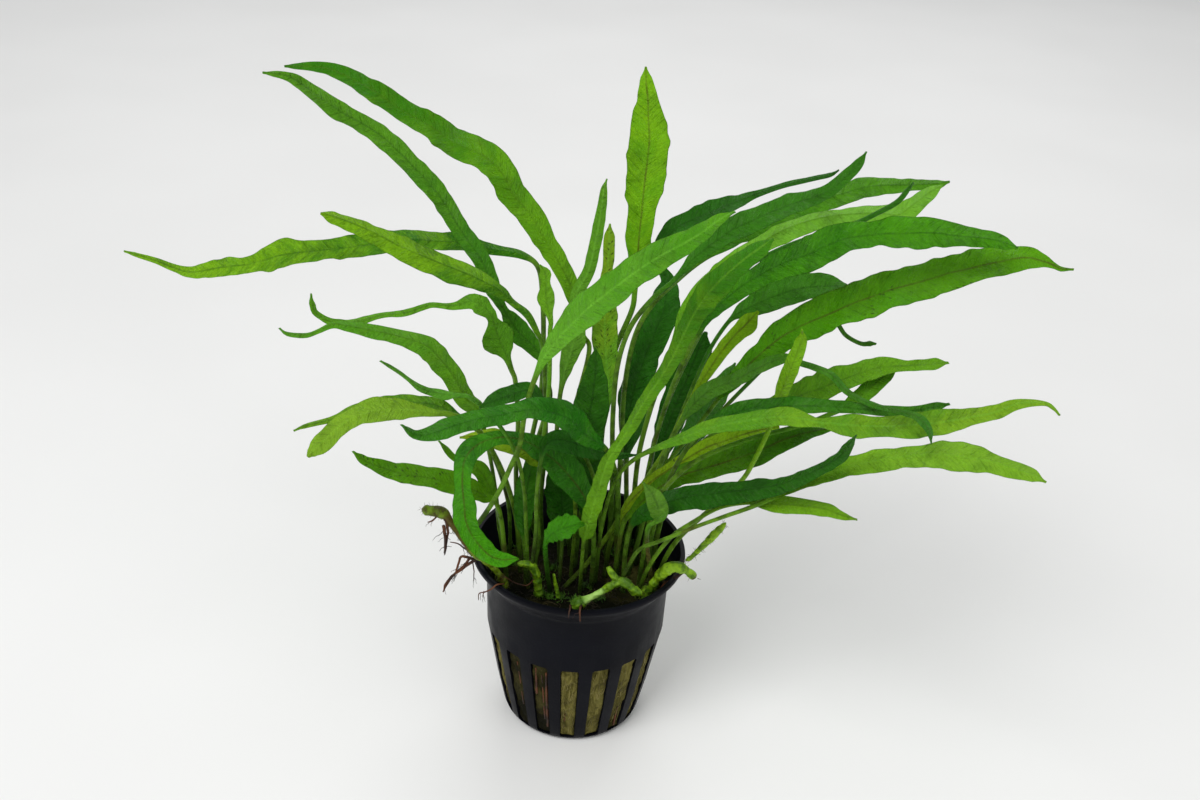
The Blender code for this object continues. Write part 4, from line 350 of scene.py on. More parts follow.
        (33, 100, 1), (31, 95, 4), (28, 88, 6), (24.6, 80, 5), (20, 71, 2.2), (15.5, 62, 1.4)]),
]

# Leaves that pass on the viewer's side of others, by their names without leaf_.
FRONT_OF = {
    "front_big_pale":
        "left_top_long centre_upright_slim centre_upright_spotted centre_tall right_upper_back "
        "left_small_upright left_dark centre_yellow front_drooping centre_dark_short",
    "front_dark_arch":
        "front_big_pale left_arch left_low_pale centre_dark_short centre_round_dark "
        "front_drooping centre_low_dark",
    "front_drooping":
        "left_speckled left_short centre_yellow centre_round_dark centre_low_left "
        "centre_low_middle",
    "centre_low_dark": "front_drooping centre_round_dark centre_low_left centre_low_middle",
    "front_long_strip":
        "front_drooping centre_low_dark centre_round_dark right_light_arch front_dark_arch "
        "right_low_long centre_broad_back",
    "right_low_long": "centre_low_dark right_upright_narrow",
    "left_dark": "left_far left_top_short",
    "left_top_short": "left_far",
    "left_hooked": "left_arch",
    "left_low_pale": "left_low_behind",
    "right_upper_dark": "right_upper_back",
    "right_thin_dark": "right_light_arch",
    "right_broad_arch": "right_thin_dark",
    "right_largest": "right_round_tip right_thin_curl",
    "right_thin_crossing": "right_middle_arch",
    "right_upright_narrow": "right_largest right_thin_crossing right_inner_arch right_inner_yellow",
    "right_dark_arch": "right_upright_narrow",
    "right_low_dark": "right_upright_narrow right_low_front",
    "right_low_front": "right_low_short",
    "small_pale_triangle": "right_low_dark",
}

# Leaves that differ from the rest: stalk colour, width of the blade, half width of a blunt
# tip, ragged margin and toothed margin
STALK = (108, 148, 40)
STALKS = {"leaf_small_pale_triangle": (128, 112, 60), "leaf_small_crinkled": (48, 84, 18)}
WIDEN = {"leaf_left_low_pale": 1.25, "leaf_left_thin_wavy": 1.2, "leaf_right_upper_slim": 1.1}
BLUNT = {"leaf_left_dark": 1.5, "leaf_front_drooping": 1.5, "leaf_front_long_strip": 1.4,
         "leaf_left_low_pale": 2.0, "leaf_small_crinkled": 1.6}
RAGGED = {"leaf_small_crinkled": 0.14, "leaf_front_long_strip": 0.10, "leaf_left_thin_wavy": 0.16}
TOOTHED = {"leaf_small_crinkled": 0.32}

# Share of red, green and blue kept in the leaf colours under the white lights
GREENER = (1.03, 1.08, 0.62)

# Rhizomes: x, y, z and radius along each piece
RHIZOMES = [
    ("rhizome_left", "rhizome_brown", [
        (-37.4, -7, 61.6, 0.8), (-35.8, -7, 61.4, 1.25), (-33.6, -7, 61.2, 1.35), (-31.9, -7.2, 60.4, 1.25),
        (-30.5, -7.6, 58.6, 0.95), (-28.9, -8, 56.2, 0.75), (-27.2, -8.6, 53.7, 0.75),
        (-25.4, -9.6, 51.7, 0.8), (-23.3, -10.2, 50.7, 0.9), (-21.6, -10.2, 49.5, 0.95),
        (-19.8, -10, 47.1, 0.95), (-18.2, -9.6, 44.2, 1), (-17.2, -9, 40.8, 1)]),
    ("rhizome_front", "rhizome_green", [
        (-1.6, -18.8, 44.4, 1), (0.4, -18.4, 44.9, 1.2), (2.8, -18, 46.1, 0.85), (5.2, -17.4, 47.4, 0.8),
        (7.4, -17, 48.9, 0.9), (9.5, -17, 50.3, 1.15), (11.2, -17.2, 49.8, 1.15), (12.9, -17.6, 48.4, 1.1),
        (14.8, -18, 47.7, 1.2)]),
    ("rhizome_middle", "rhizome_green", [
        (-14.6, -10.6, 49.6, 0.7), (-12.8, -10.6, 49.7, 0.8), (-11.2, -10.6, 49.1, 0.95),
        (-10.1, -10.6, 46.6, 1), (-9.6, -10.6, 43.6, 1.05), (-9.3, -10.4, 39.9, 0.95)]),
    ("rhizome_right", "rhizome_green", [
        (27.6, -12, 48.4, 1.15), (25.8, -12, 50.1, 1.3), (23.8, -12, 51.3, 1.3), (21.6, -12, 51.2, 1.3),
        (19.8, -12, 49.6, 1.2), (18.4, -12, 47.6, 1.15), (17.4, -12, 45.2, 1), (16.4, -11.6, 42.4, 1),
        (15.8, -11, 39.8, 0.9)]),
]

# Roots and a hairy stem, in the same way
ROOTS = [
    ("root_left_hanging", "root_dark", [
        (-32.2, -8, 57.9, 0.42), (-31.9, -8, 56, 0.4), (-31.6, -8, 53.4, 0.33), (-32.2, -8, 50, 0.24)]),
    ("root_left_fork", "root_dark", [
        (-25.9, -9.5, 50, 0.34), (-27.2, -9.2, 47.4, 0.32), (-29, -9, 45.3, 0.3), (-30.7, -9, 42.8, 0.28),
        (-32.1, -9, 39.8, 0.24)]),
    ("stem_right_hairy", "rhizome_green", [
        (24.9, -12, 53.3, 0.5), (26.4, -12, 54.7, 0.55), (28.2, -12, 57.2, 0.7), (30, -12, 59.8, 0.85),
        (31.7, -12, 62.2, 0.85), (33.3, -12, 64.6, 0.55)]),
]

# Stretches of a rhizome, in mm from its first point: smooth and pale, or worn and brown
SMOOTH_PART = {"rhizome_front": (3.0, 8.6)}
WORN_PART = {"rhizome_left": (5.0, 17.0)}
WORN_TIP = {"rhizome_right": 0.9, "rhizome_left": 0.5}

# Short stems without leaves: x, y, z, radius
STUBS = [
    [(6.6, -15.6, 53.4, 0.5), (7.2, -16, 52.4, 0.75), (8.4, -16.6, 51, 0.9), (9.6, -17, 50.1, 1)],
    [(-0.9, -18.6, 43.6, 1.1), (0.2, -18.6, 44.6, 1.6), (1.3, -18.4, 45.4, 1.2)],
    [(-4.4, -9, 38.4, 0.6), (-5, -9, 41, 0.5), (-5.6, -8.8, 43.6, 0.45), (-5.9, -8.6, 45.4, 0.3)],
    [(15, -7, 39.4, 1), (15.8, -8.6, 41, 1.3), (16.8, -9.6, 42.6, 1.1)],
]

# Loose roots: x, y, z, radius
LOOSE_ROOTS = [
    [(-30.6, -9, 54, 0.11), (-28.7, -9, 53.5, 0.16), (-26.9, -9, 51.8, 0.2), (-25.4, -9, 50.1, 0.24)],
    [(-24.4, -9.5, 49.2, 0.4), (-26.8, -9.5, 50.4, 0.34), (-28, -9.5, 50.2, 0.3), (-28.5, -9.5, 48, 0.27),
     (-29.2, -9.5, 45.6, 0.2)],
    [(-24.4, -9.6, 49.6, 0.42), (-26.6, -9.5, 47.8, 0.36), (-29, -9.6, 45.6, 0.3),
     (-30.6, -9.5, 43.8, 0.26), (-31.6, -9.5, 41.9, 0.22), (-32.4, -9.5, 39.6, 0.16)],
    [(-25.4, -9, 49.4, 0.16), (-24.9, -9.2, 46, 0.13), (-25, -9.2, 43.2, 0.09)],
    [(-29, -9.5, 46.1, 0.14), (-29.4, -9.4, 44.7, 0.12), (-29.9, -9.4, 43.3, 0.08)],
    [(-17.4, -15.6, 47.4, 0.2), (-19, -17.6, 48.6, 0.2), (-20.4, -18.2, 47.6, 0.18), (-22, -18, 46.6, 0.16),
     (-23.3, -17.6, 45.9, 0.12), (-23.4, -17.6, 43.8, 0.08)],
    [(-22, -18, 46.8, 0.14), (-22.3, -18, 45.3, 0.09)],
    [(-1.6, -20.6, 44.6, 0.24), (-1.9, -24, 48.4, 0.22), (-2.2, -26.2, 48.3, 0.2),
     (-2.4, -26.8, 46.9, 0.1)],
    [(1, -20.4, 44.8, 0.28), (0.6, -24, 48.5, 0.26), (0.4, -26.2, 48.3, 0.22), (0.7, -26.8, 45.9, 0.12)],
    [(25, -12.2, 50.4, 0.3), (23.4, -11.9, 48.6, 0.4), (21.2, -11.4, 46.2, 0.42), (19.6, -11, 43.6, 0.38)],
    [(-17.4, -13, 47.4, 0.12), (-15.7, -13, 46.3, 0.13), (-13.8, -13, 45.5, 0.14), (-11.9, -13, 45.5, 0.14),
     (-10.5, -13, 47.1, 0.12)],
    [(-31.9, -7.8, 60, 0.5), (-31.4, -7.8, 58.4, 0.42), (-31.1, -7.8, 55.9, 0.3), (-31.5, -7.8, 52.9, 0.2),
     (-32, -7.8, 49.4, 0.1)],
    [(-33.8, -8, 60.4, 0.2), (-35, -8.6, 59.4, 0.2), (-36, -8.8, 59.2, 0.1)],
]

# Moss on the rock wool: x, y, z, reach, strands
MOSS = [
    (-7.1, -8.8, 38.6, 1.3, 60), (-8.6, -7.4, 38.6, 1.1, 40), (-0.5, -10.4, 38.6, 1.3, 60),
    (-4.2, -8.7, 38.6, 1.2, 60), (19, -2, 38.6, 1.5, 60), (16.8, -9, 41.4, 1.4, 70),
    (0.4, -18.6, 45.4, 1.1, 60), (-19, 9, 38.6, 1.6, 50), (-14.7, 11, 38.6, 1.6, 50),
    (-16, 4, 38.6, 1.4, 40), (5.5, -8.9, 38.6, 1.2, 40), (11, -4, 38.6, 1.2, 40), (2, -4, 38.6, 1.4, 40),
    (-10, -2, 38.6, 1.4, 40), (8, 10, 38.6, 1.6, 50), (-3, 14, 38.6, 1.6, 50), (14, 14, 38.6, 1.6, 50),
    (-6, 3, 38.6, 1.4, 40),
]

# Darkening of the wool in single slots: slot, all over, and low down. Slot 16's dark low part is painted
# shade in its empty bottom; the rest is the wool's own darker tone.
SLOT_SHADES = ((0, 0.0, 0.1), (1, 0.0, 0.0), (2, 0.05, 0.7), (3, 0.15, 0.3),
               (17, 0.74, 0.5), (16, 0.80, 1.0), (15, 0.10, 0.3))

# Slots whose wool is dark and has no light strands; the dark of slot 16 is partly painted shade
DARK_SLOTS = (16, 17)

# Brown roots pressed against the slots: slot, angle off its middle, low end, length, radius
SLOT_ROOTS = ((17, 0.062, 4.0, 20.5, 0.42), (17, 0.030, 7.0, 16.0, 0.26), (17, -0.060, 16.0, 9.0, 0.34),
              (16, 0.040, 9.0, 15.0, 0.24), (0, -0.050, 5.0, 5.0, 0.16), (2, 0.020, 2.6, 7.0, 0.30),
              (9, 0.030, 4.0, 15.0, 0.34), (12, -0.030, 6.0, 14.0, 0.28))


# Routes of the leaves, as in the solid model

def pot_radius(z):
    """Outer radius of the pot at a height."""
    heights = [0.0, 0.7, 1.6, 12.0, SLOT_TOP_Z, RIM_BAND_Z, POT_H - 1.0, POT_H]
    radii = [FOOT_R - 0.9, FOOT_R, FOOT_R + 0.6, 19.6, SLOT_TOP_R, NECK_R, RIM_R, RIM_R]
    return float(np.interp(z, heights, radii))


def wool_height(x, y):
    """Top of the rock wool, slightly uneven."""
    return WOOL_TOP_Z + 0.35 * math.sin(0.31 * x + 0.8) * math.cos(0.27 * y)


def spline(p0, p1, p2, p3, t):
    """The point at share t of a smooth curve from p1 to p2."""
    return 0.5 * (2 * p1 + (p2 - p0) * t + (2 * p0 - 5 * p1 + 4 * p2 - p3) * t * t
                  + (3 * p1 - p0 - 3 * p2 + p3) * t ** 3)


def run_along(points):
    """Length run up to each point."""
    return np.concatenate([[0.0], np.cumsum(np.linalg.norm(np.diff(points, axis=0), axis=1))])


def smooth_path(points, spacing, fewest=MIN_STATIONS, most=MAX_STATIONS):
    """Evenly spaced points on a smooth curve through the given points, all columns together."""
    pts = np.array(points, float)
    ends = np.vstack([2 * pts[0] - pts[1], pts, 2 * pts[-1] - pts[-2]])
    fine = []
    for i in range(1, len(ends) - 2):
        for t in np.linspace(0.0, 1.0, 12, endpoint=False):
            fine.append(spline(*ends[i - 1:i + 3], t))
    fine.append(ends[-2])
    fine = np.array(fine)
    run = run_along(fine[:, :3 if fine.shape[1] > 3 else 2])
    count = int(np.clip(round(run[-1] / spacing) + 1, fewest, most))
    even = np.linspace(0.0, run[-1], count)
    return np.stack([np.interp(even, run, column) for column in fine.T], axis=1)


def nearness(depth):
    """Size of things at a depth against the same in the reading plane."""
    return (depth - EYE[1]) / -EYE[1]


def slide(x, z, depth):
    """The point at a depth on the line of sight through x, z of the reading plane."""
    t = nearness(depth)
    return np.stack([EYE[0] + (x - EYE[0]) * t, depth, EYE[2] + (z - EYE[2]) * t], axis=-1)


def leaf_route(foot, route):
    """The route of one leaf in the reading plane, from foot to tip."""
    x, y = foot[:2]
    z = foot[2] if len(foot) == 3 else wool_height(x, y) + GAP + 0.15
    t = nearness(y)
    start = (EYE[0] + (x - EYE[0]) / t, EYE[2] + (z - EYE[2]) / t, STALK_THICK)
    return list(reversed(route + [start]))


def read_leaf(leaf):
    """Stations of one leaf in the reading plane, from foot to tip: x, z, width, and depth."""
    tip_depth, bend, foot, route = leaf[3:]
    flat = smooth_path(leaf_route(foot, route), STATION)
    run = run_along(flat[:, :2])
    return flat, foot[1] + (tip_depth - foot[1]) * (run / run[-1]) ** bend


def unit(vectors):
    """Rows of vectors at a length of 1."""
    return vectors / np.maximum(np.linalg.norm(vectors, axis=1), 1e-9)[:, None]


def frames(flat, depth, blur=2):
    """Centres, half widths, blade directions and face directions of a leaf's stations."""
    centre = slide(flat[:, 0], flat[:, 1], depth)
    along = unit(np.gradient(centre, axis=0))
    side = unit(np.cross(along, unit(centre - EYE)))
    face = np.cross(along, side)
    up = np.array([0.0, 0.0, 1.0]) - along * along[:, 2:3]
    level = np.linalg.norm(up, axis=1)
    angle = np.arctan2(np.sum(up * side, axis=1), np.sum(up * face, axis=1))
    angle = np.where(np.cos(angle) < 0.0, np.sign(angle) * math.pi - angle, angle)
    roll = np.pad(np.clip(FLATTEN * level * angle, -MAX_ROLL, MAX_ROLL), blur, mode="edge")
    roll = np.convolve(roll, np.ones(2 * blur + 1) / (2 * blur + 1), mode="valid")
    turn = np.cos(roll)[:, None]
    lean = np.sin(roll)[:, None]
    half = 0.5 * flat[:, 2] * nearness(depth) / np.cos(roll)
    return centre, half, side * turn - face * lean, face * turn + side * lean


def thickness(width):
    """Rib height: a stalk is round and a blade is flat."""
    blade = np.clip((width - 1.6) / 2.0, 0.0, 1.0)
    return np.minimum(STALK_THICK * (1.0 - blade) + RIB_THICK * blade, width * 0.93)


def between(values, index, share):
    """Values read between each station and the next."""
    return values[index] * (1 - share) + values[index + 1] * share


def crossings(flats):
    """Samples of each leaf that lie over another leaf in the reading plane."""
    starts = np.concatenate([[0], np.cumsum([len(f) for f in flats])])
    table = []
    for a, fa in enumerate(flats):
        part = np.arange(0.0, len(fa) - 1.0 + 1e-6, SAMPLE_STEP)
        i0 = np.minimum(part.astype(int), len(fa) - 2)
        fr = part - i0
        pa = between(fa[:, :2], i0, fr[:, None])
        wa = between(fa[:, 2], i0, fr)
        da = unit(fa[i0 + 1, :2] - fa[i0, :2])
        na = np.stack([-da[:, 1], da[:, 0]], axis=1)
        for across in (-1.0, -0.5, 0.0, 0.5, 1.0):
            spot = pa + na * (across * 0.5 * wa)[:, None]
            for b, fb in enumerate(flats):
                if a == b:
                    continue
                seg = fb[1:, :2] - fb[:-1, :2]
                size2 = np.sum(seg * seg, axis=1)
                rel = spot[:, None, :] - fb[None, :-1, :2]
                s = np.sum(rel * seg[None], axis=2) / size2[None]
                off = rel[:, :, 0] * seg[None, :, 1] - rel[:, :, 1] * seg[None, :, 0]
                off = off / np.sqrt(size2)[None]
                wb = fb[:-1, 2] + (fb[1:, 2] - fb[:-1, 2]) * np.clip(s, 0.0, 1.0)
                hit = (s > -0.04) & (s < 1.04) & (np.abs(off) < 0.5 * wb + 0.55)
                for r, c in zip(*np.nonzero(hit)):
                    table.append((a, b, starts[a] + i0[r], starts[b] + c, fr[r], across,
                                  min(max(s[r, c], 0.0), 1.0), off[r, c] / max(0.5 * wb[r, c], 0.3)))
    return np.array(table), starts


def clear_crossings(leaves):
    """Depths that let crossing leaves pass each other, with each foot held in place."""
    flats, first_depths = zip(*[read_leaf(leaf) for leaf in leaves])
    depths = [depth.copy() for depth in first_depths]
    names = [leaf[0] for leaf in leaves]
    table, starts = crossings(flats)
    a_id, b_id, ia, ib = table[:, :4].astype(int).T
    fa, across, sb, off = (column[:, None] for column in table[:, 4:].T)
    off = np.abs(off[:, 0])
    known = {}
    for front, backs in FRONT_OF.items():
        for back in backs.split():
            pair = (names.index("leaf_" + front), names.index("leaf_" + back))
            known[pair] = 1.0
            known[pair[::-1]] = -1.0
    thick = thickness(np.concatenate([f[:, 2] for f in flats]))
    free = np.concatenate([np.clip(np.arange(len(f)) / 3.0, 0.0, 1.0) for f in flats])
    thick_a = between(thick, ia, fa[:, 0])
    thick_b = between(thick, ib, sb[:, 0])
    need = 0.5 * thick_a * (1.0 - 0.7 * np.abs(across[:, 0])) + CLEAR
    need = need + 0.5 * thick_b * np.clip(1.0 - 0.7 * off, 0.2, 1.0)
    order = None
    for _ in range(ROUNDS):
        parts = [frames(f, d) for f, d in zip(flats, depths)]
        centre, half, side, face = (np.concatenate(group) for group in zip(*parts))
        edge = side * half[:, None]
        spot = (centre[ia] + edge[ia] * across) * (1 - fa) + (centre[ia + 1] + edge[ia + 1] * across) * fa
        t_a = nearness(spot[:, 1])
        ray = (spot - EYE) / t_a[:, None]
        norm = unit(between(face, ib, sb))
        slope = np.sum(norm * ray, axis=1)
        slope = np.where(np.abs(slope) < MIN_SLOPE, np.sign(slope) * MIN_SLOPE, slope)
        t_b = np.sum(norm * (between(centre, ib, sb) - EYE), axis=1) / slope
        gap = (t_b - t_a) * np.abs(slope)
        if order is None:
            order = group_order(a_id, b_id, ia - starts[a_id], ib - starts[b_id], gap, known)
        move = np.clip(need - order * gap, 0.0, MAX_SHORT) / np.abs(slope) * -EYE[1] * 0.5
        pull = np.zeros(len(thick))
        push = np.zeros(len(thick))
        for index, toward in ((ia, order > 0), (ia + 1, order > 0), (ib, order < 0), (ib + 1, order < 0)):
            np.maximum.at(pull, index[toward], move[toward])
            np.maximum.at(push, index[~toward], move[~toward])
        change = push - pull
        for k, flat in enumerate(flats):
            lo, hi = starts[k], starts[k + 1]
            row = np.convolve(np.pad(change[lo:hi], 2, mode="edge"), SPREAD, "valid")
            shift = depths[k] + row * free[lo:hi] - first_depths[k]
            ends = np.pad(shift, 1, mode="edge")
            shift = 0.6 * shift + 0.2 * (ends[:-2] + ends[2:])
            shift[0] = 0.0
            depths[k] = keep_inside_pot(flat, first_depths[k] + shift)
    return depths


def keep_inside_pot(flat, depth):
    """Depths that keep a stalk clear of the pot's wall until it has passed the rim."""
    past_rim = POT_H + 2.5
    centre = slide(flat[:, 0], flat[:, 1], depth)
    wall = np.interp(centre[:, 2], [0.0, RIM_BAND_Z, POT_H, past_rim], [18.0, NECK_R, RIM_R - 0.6, 60.0])
    limit = wall - WALL - 1.6
    reach = np.sqrt(np.maximum(limit ** 2 - centre[:, 0] ** 2, 0.25))
    low = (centre[:, 2] < past_rim) & (np.abs(centre[:, 0]) < limit)
    return np.where(low, np.clip(depth, -reach, reach), depth)


def group_order(a_id, b_id, sa, sb, gap, known):
    """One order for each place where two leaves cross: +1 where the first is nearer the viewer."""
    order = np.zeros(len(a_id))
    keys = {}
    for n in range(len(a_id)):
        low, high = min(a_id[n], b_id[n]), max(a_id[n], b_id[n])
        low_station = sa[n] if a_id[n] == low else sb[n]
        keys.setdefault((low, high), []).append((low_station, n))
    for (low, high), rows in keys.items():
        rows.sort()
        groups = [[rows[0]]]
        for row in rows[1:]:
            if row[0] - groups[-1][-1][0] > SAME_PLACE:
                groups.append([])
            groups[-1].append(row)
        for group in groups:
            index = [n for _, n in group]
            signed = [gap[n] if a_id[n] == low else -gap[n] for n in index]
            sign = 1.0 if np.mean(signed) >= 0.0 else -1.0
            near_foot = min(min(sa[n], sb[n]) for n in index) < NEAR_FOOT
            if (low, high) in known and not near_foot:
                sign = known[(low, high)]
            for n in index:
                order[n] = sign if a_id[n] == low else -sign
    return order


# Shared helpers

def linear(colour):
    """Display colour values 0 to 255 as linear light."""
    return tuple((c / 255.0 / 12.92) if c <= 10 else ((c / 255.0 + 0.055) / 1.055) ** 2.4 for c in colour)


def tint(colour, scale, lift=0.0):
    """A colour made lighter or darker."""
    return tuple(min(1.0, c * scale + lift) for c in colour)


def ease(t):
    """A share from 0 to 1 with soft ends."""
    return t * t * (3.0 - 2.0 * t)


def wave_noise(rng, positions, wavelength):
    """Smooth noise from -1 to 1 along a line."""
    low = positions.min() / wavelength
    count = int((positions.max() - positions.min()) / wavelength) + 4
    values = rng.uniform(-1.0, 1.0, count)
    spot = positions / wavelength - low
    i = spot.astype(int)
    t = ease(spot - i)
    return values[i] * (1.0 - t) + values[i + 1] * t


def bumps_at(seed, points, waves, low, high):
    """Smooth noise over points in space as a sum of waves."""
    rng = np.random.default_rng(seed)
    total = np.zeros(len(points))
    for _ in range(waves):
        d = rng.normal(size=3)
        d *= rng.uniform(low, high) / np.linalg.norm(d)
        total += np.sin(points @ d + rng.uniform(0.0, 6.28))
    return total / math.sqrt(waves)


def curve_through(values, count):
    """Values of evenly spaced stations, read again at a larger even count along a smooth curve."""
    spot = np.linspace(0.0, len(values) - 1.0, count)
    i = np.minimum(spot.astype(int), len(values) - 2)
    v = np.concatenate([[2 * values[0] - values[1]], values, [2 * values[-1] - values[-2]]])
    return spline(v[i], v[i + 1], v[i + 2], v[i + 3], spot - i)


def mesh_object(name, grid, faces, attributes, material, nodes):
    """A smooth mesh object with point attributes and its material, in place of its nodes."""
    mesh = bpy.data.meshes.new(name)
    mesh.from_pydata((np.reshape(grid, (-1, 3)) * MM).tolist(), [], faces)
    bm = bmesh.new()
    bm.from_mesh(mesh)
    bmesh.ops.recalc_face_normals(bm, faces=bm.faces[:])
    bm.to_mesh(mesh)
    bm.free()
    for key, values in attributes.items():
        layer = mesh.attributes.new(key, "FLOAT", "POINT")
        layer.data.foreach_set("value", np.asarray(values, np.float32))
    mesh.update()
    mesh.shade_smooth()
    settle(new_object(name, mesh), material, nodes)


def new_object(name, data):
    """An object linked to the scene."""
    obj = bpy.data.objects.new(name, data)
    bpy.context.scene.collection.objects.link(obj)
    return obj


def settle(obj, material, nodes):
    """Give a piece its material and body, and hide the nodes that it stands for."""
    obj.data.materials.append(material)
    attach(obj, "root")
    if nodes:
        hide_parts(*nodes)


def ring_faces(rows, columns, offset=0):
    """Faces of a closed tube of rows of points, with end caps."""
    faces = []
    for r in range(rows - 1):
        a = offset + r * columns
        b = a + columns
        for c in range(columns):
            d = (c + 1) % columns
            faces.append((a + c, a + d, b + d, b + c))
    last = offset + (rows - 1) * columns
    faces.append(tuple(range(offset + columns - 1, offset - 1, -1)))
    faces.append(tuple(range(last, last + columns)))
    return faces


# Node materials

class Nodes:
    """Short calls for the nodes of one material."""

    def __init__(self, name):
        self.mat = bpy.data.materials.new(name)
        self.mat.use_nodes = True
        self.tree = self.mat.node_tree
        self.shader = self.tree.nodes["Principled BSDF"]

    def feed(self, node, inputs):
        """Link or set the inputs of a node. A colour has three values and gets a fourth."""
        for key, value in inputs.items():
            end = node.inputs[key]
            if isinstance(value, bpy.types.NodeSocket):
                self.tree.links.new(value, end)
            else:
                end.default_value = (*value, 1.0) if end.type == "RGBA" else value

    def add(self, kind, inputs, output, **settings):
        """One output of a new node."""
        node = self.tree.nodes.new(kind)
        for key, value in settings.items():
            setattr(node, key, value)
        self.feed(node, inputs)
        return node.outputs[output]

    def value(self, name):
        """An attribute of the mesh."""
        return self.add("ShaderNodeAttribute", {}, "Fac", attribute_name=name)

    def math(self, operation, a, b=0.0):
        """One sum on two values."""
        return self.add("ShaderNodeMath", {0: a, 1: b}, 0, operation=operation)

    def times(self, a, b):
        """The product of two values."""
        return self.math("MULTIPLY", a, b)

    def ramp(self, value, low, high, out_low=0.0, out_high=1.0):
        """A soft step from one level to another."""
        inputs = {"Value": value, "From Min": low, "From Max": high, "To Min": out_low, "To Max": out_high}
        return self.add("ShaderNodeMapRange", inputs, "Result", interpolation_type="SMOOTHSTEP")

    def place(self):
        """The place in metres, measured from the foot of the pot."""
        return self.add("ShaderNodeTexCoord", {}, "Object")

    def noise(self, scale, detail=3.0, rough=0.55, stretch=None, turn=0.0, place=None):
        """Cloudy noise, over the object or over a given place."""
        place = self.place() if place is None else place
        if stretch:
            place = self.add("ShaderNodeMapping", {"Vector": place, "Scale": stretch}, "Vector")
        inputs = {"Vector": place, "Scale": scale, "Detail": detail, "Roughness": rough, "Distortion": turn}
        return self.add("ShaderNodeTexNoise", inputs, "Fac")

    def cells(self, scale, place=None, **settings):
        """Distance within a pattern of cells."""
        place = self.place() if place is None else place
        return self.add("ShaderNodeTexVoronoi", {"Vector": place, "Scale": scale}, "Distance", **settings)

    def mix(self, factor, a, b):
        """A colour between two others."""
        return self.add("ShaderNodeMix", {"Factor": factor, 6: a, 7: b}, 2, data_type="RGBA")

    def layers(self, colour, rows):
        """Colours laid over the first, each where a value rises from low to high."""
        for value, low, high, most, paint in rows:
            colour = self.mix(self.ramp(value, low, high, 0.0, most), colour, paint)
        return colour

    def finish(self, colour, rough, specular, height=None, strength=0.0, distance=0.0):
        """Feed the shader with a colour, roughness and specular level, and with a bump."""
        self.feed(self.shader, {"Base Color": colour, "Roughness": rough, "Specular IOR Level": specular})
        if height is not None:
            inputs = {"Height": height, "Strength": strength, "Distance": distance}
            self.feed(self.shader, {"Normal": self.add("ShaderNodeBump", inputs, "Normal")})
        return self.mat


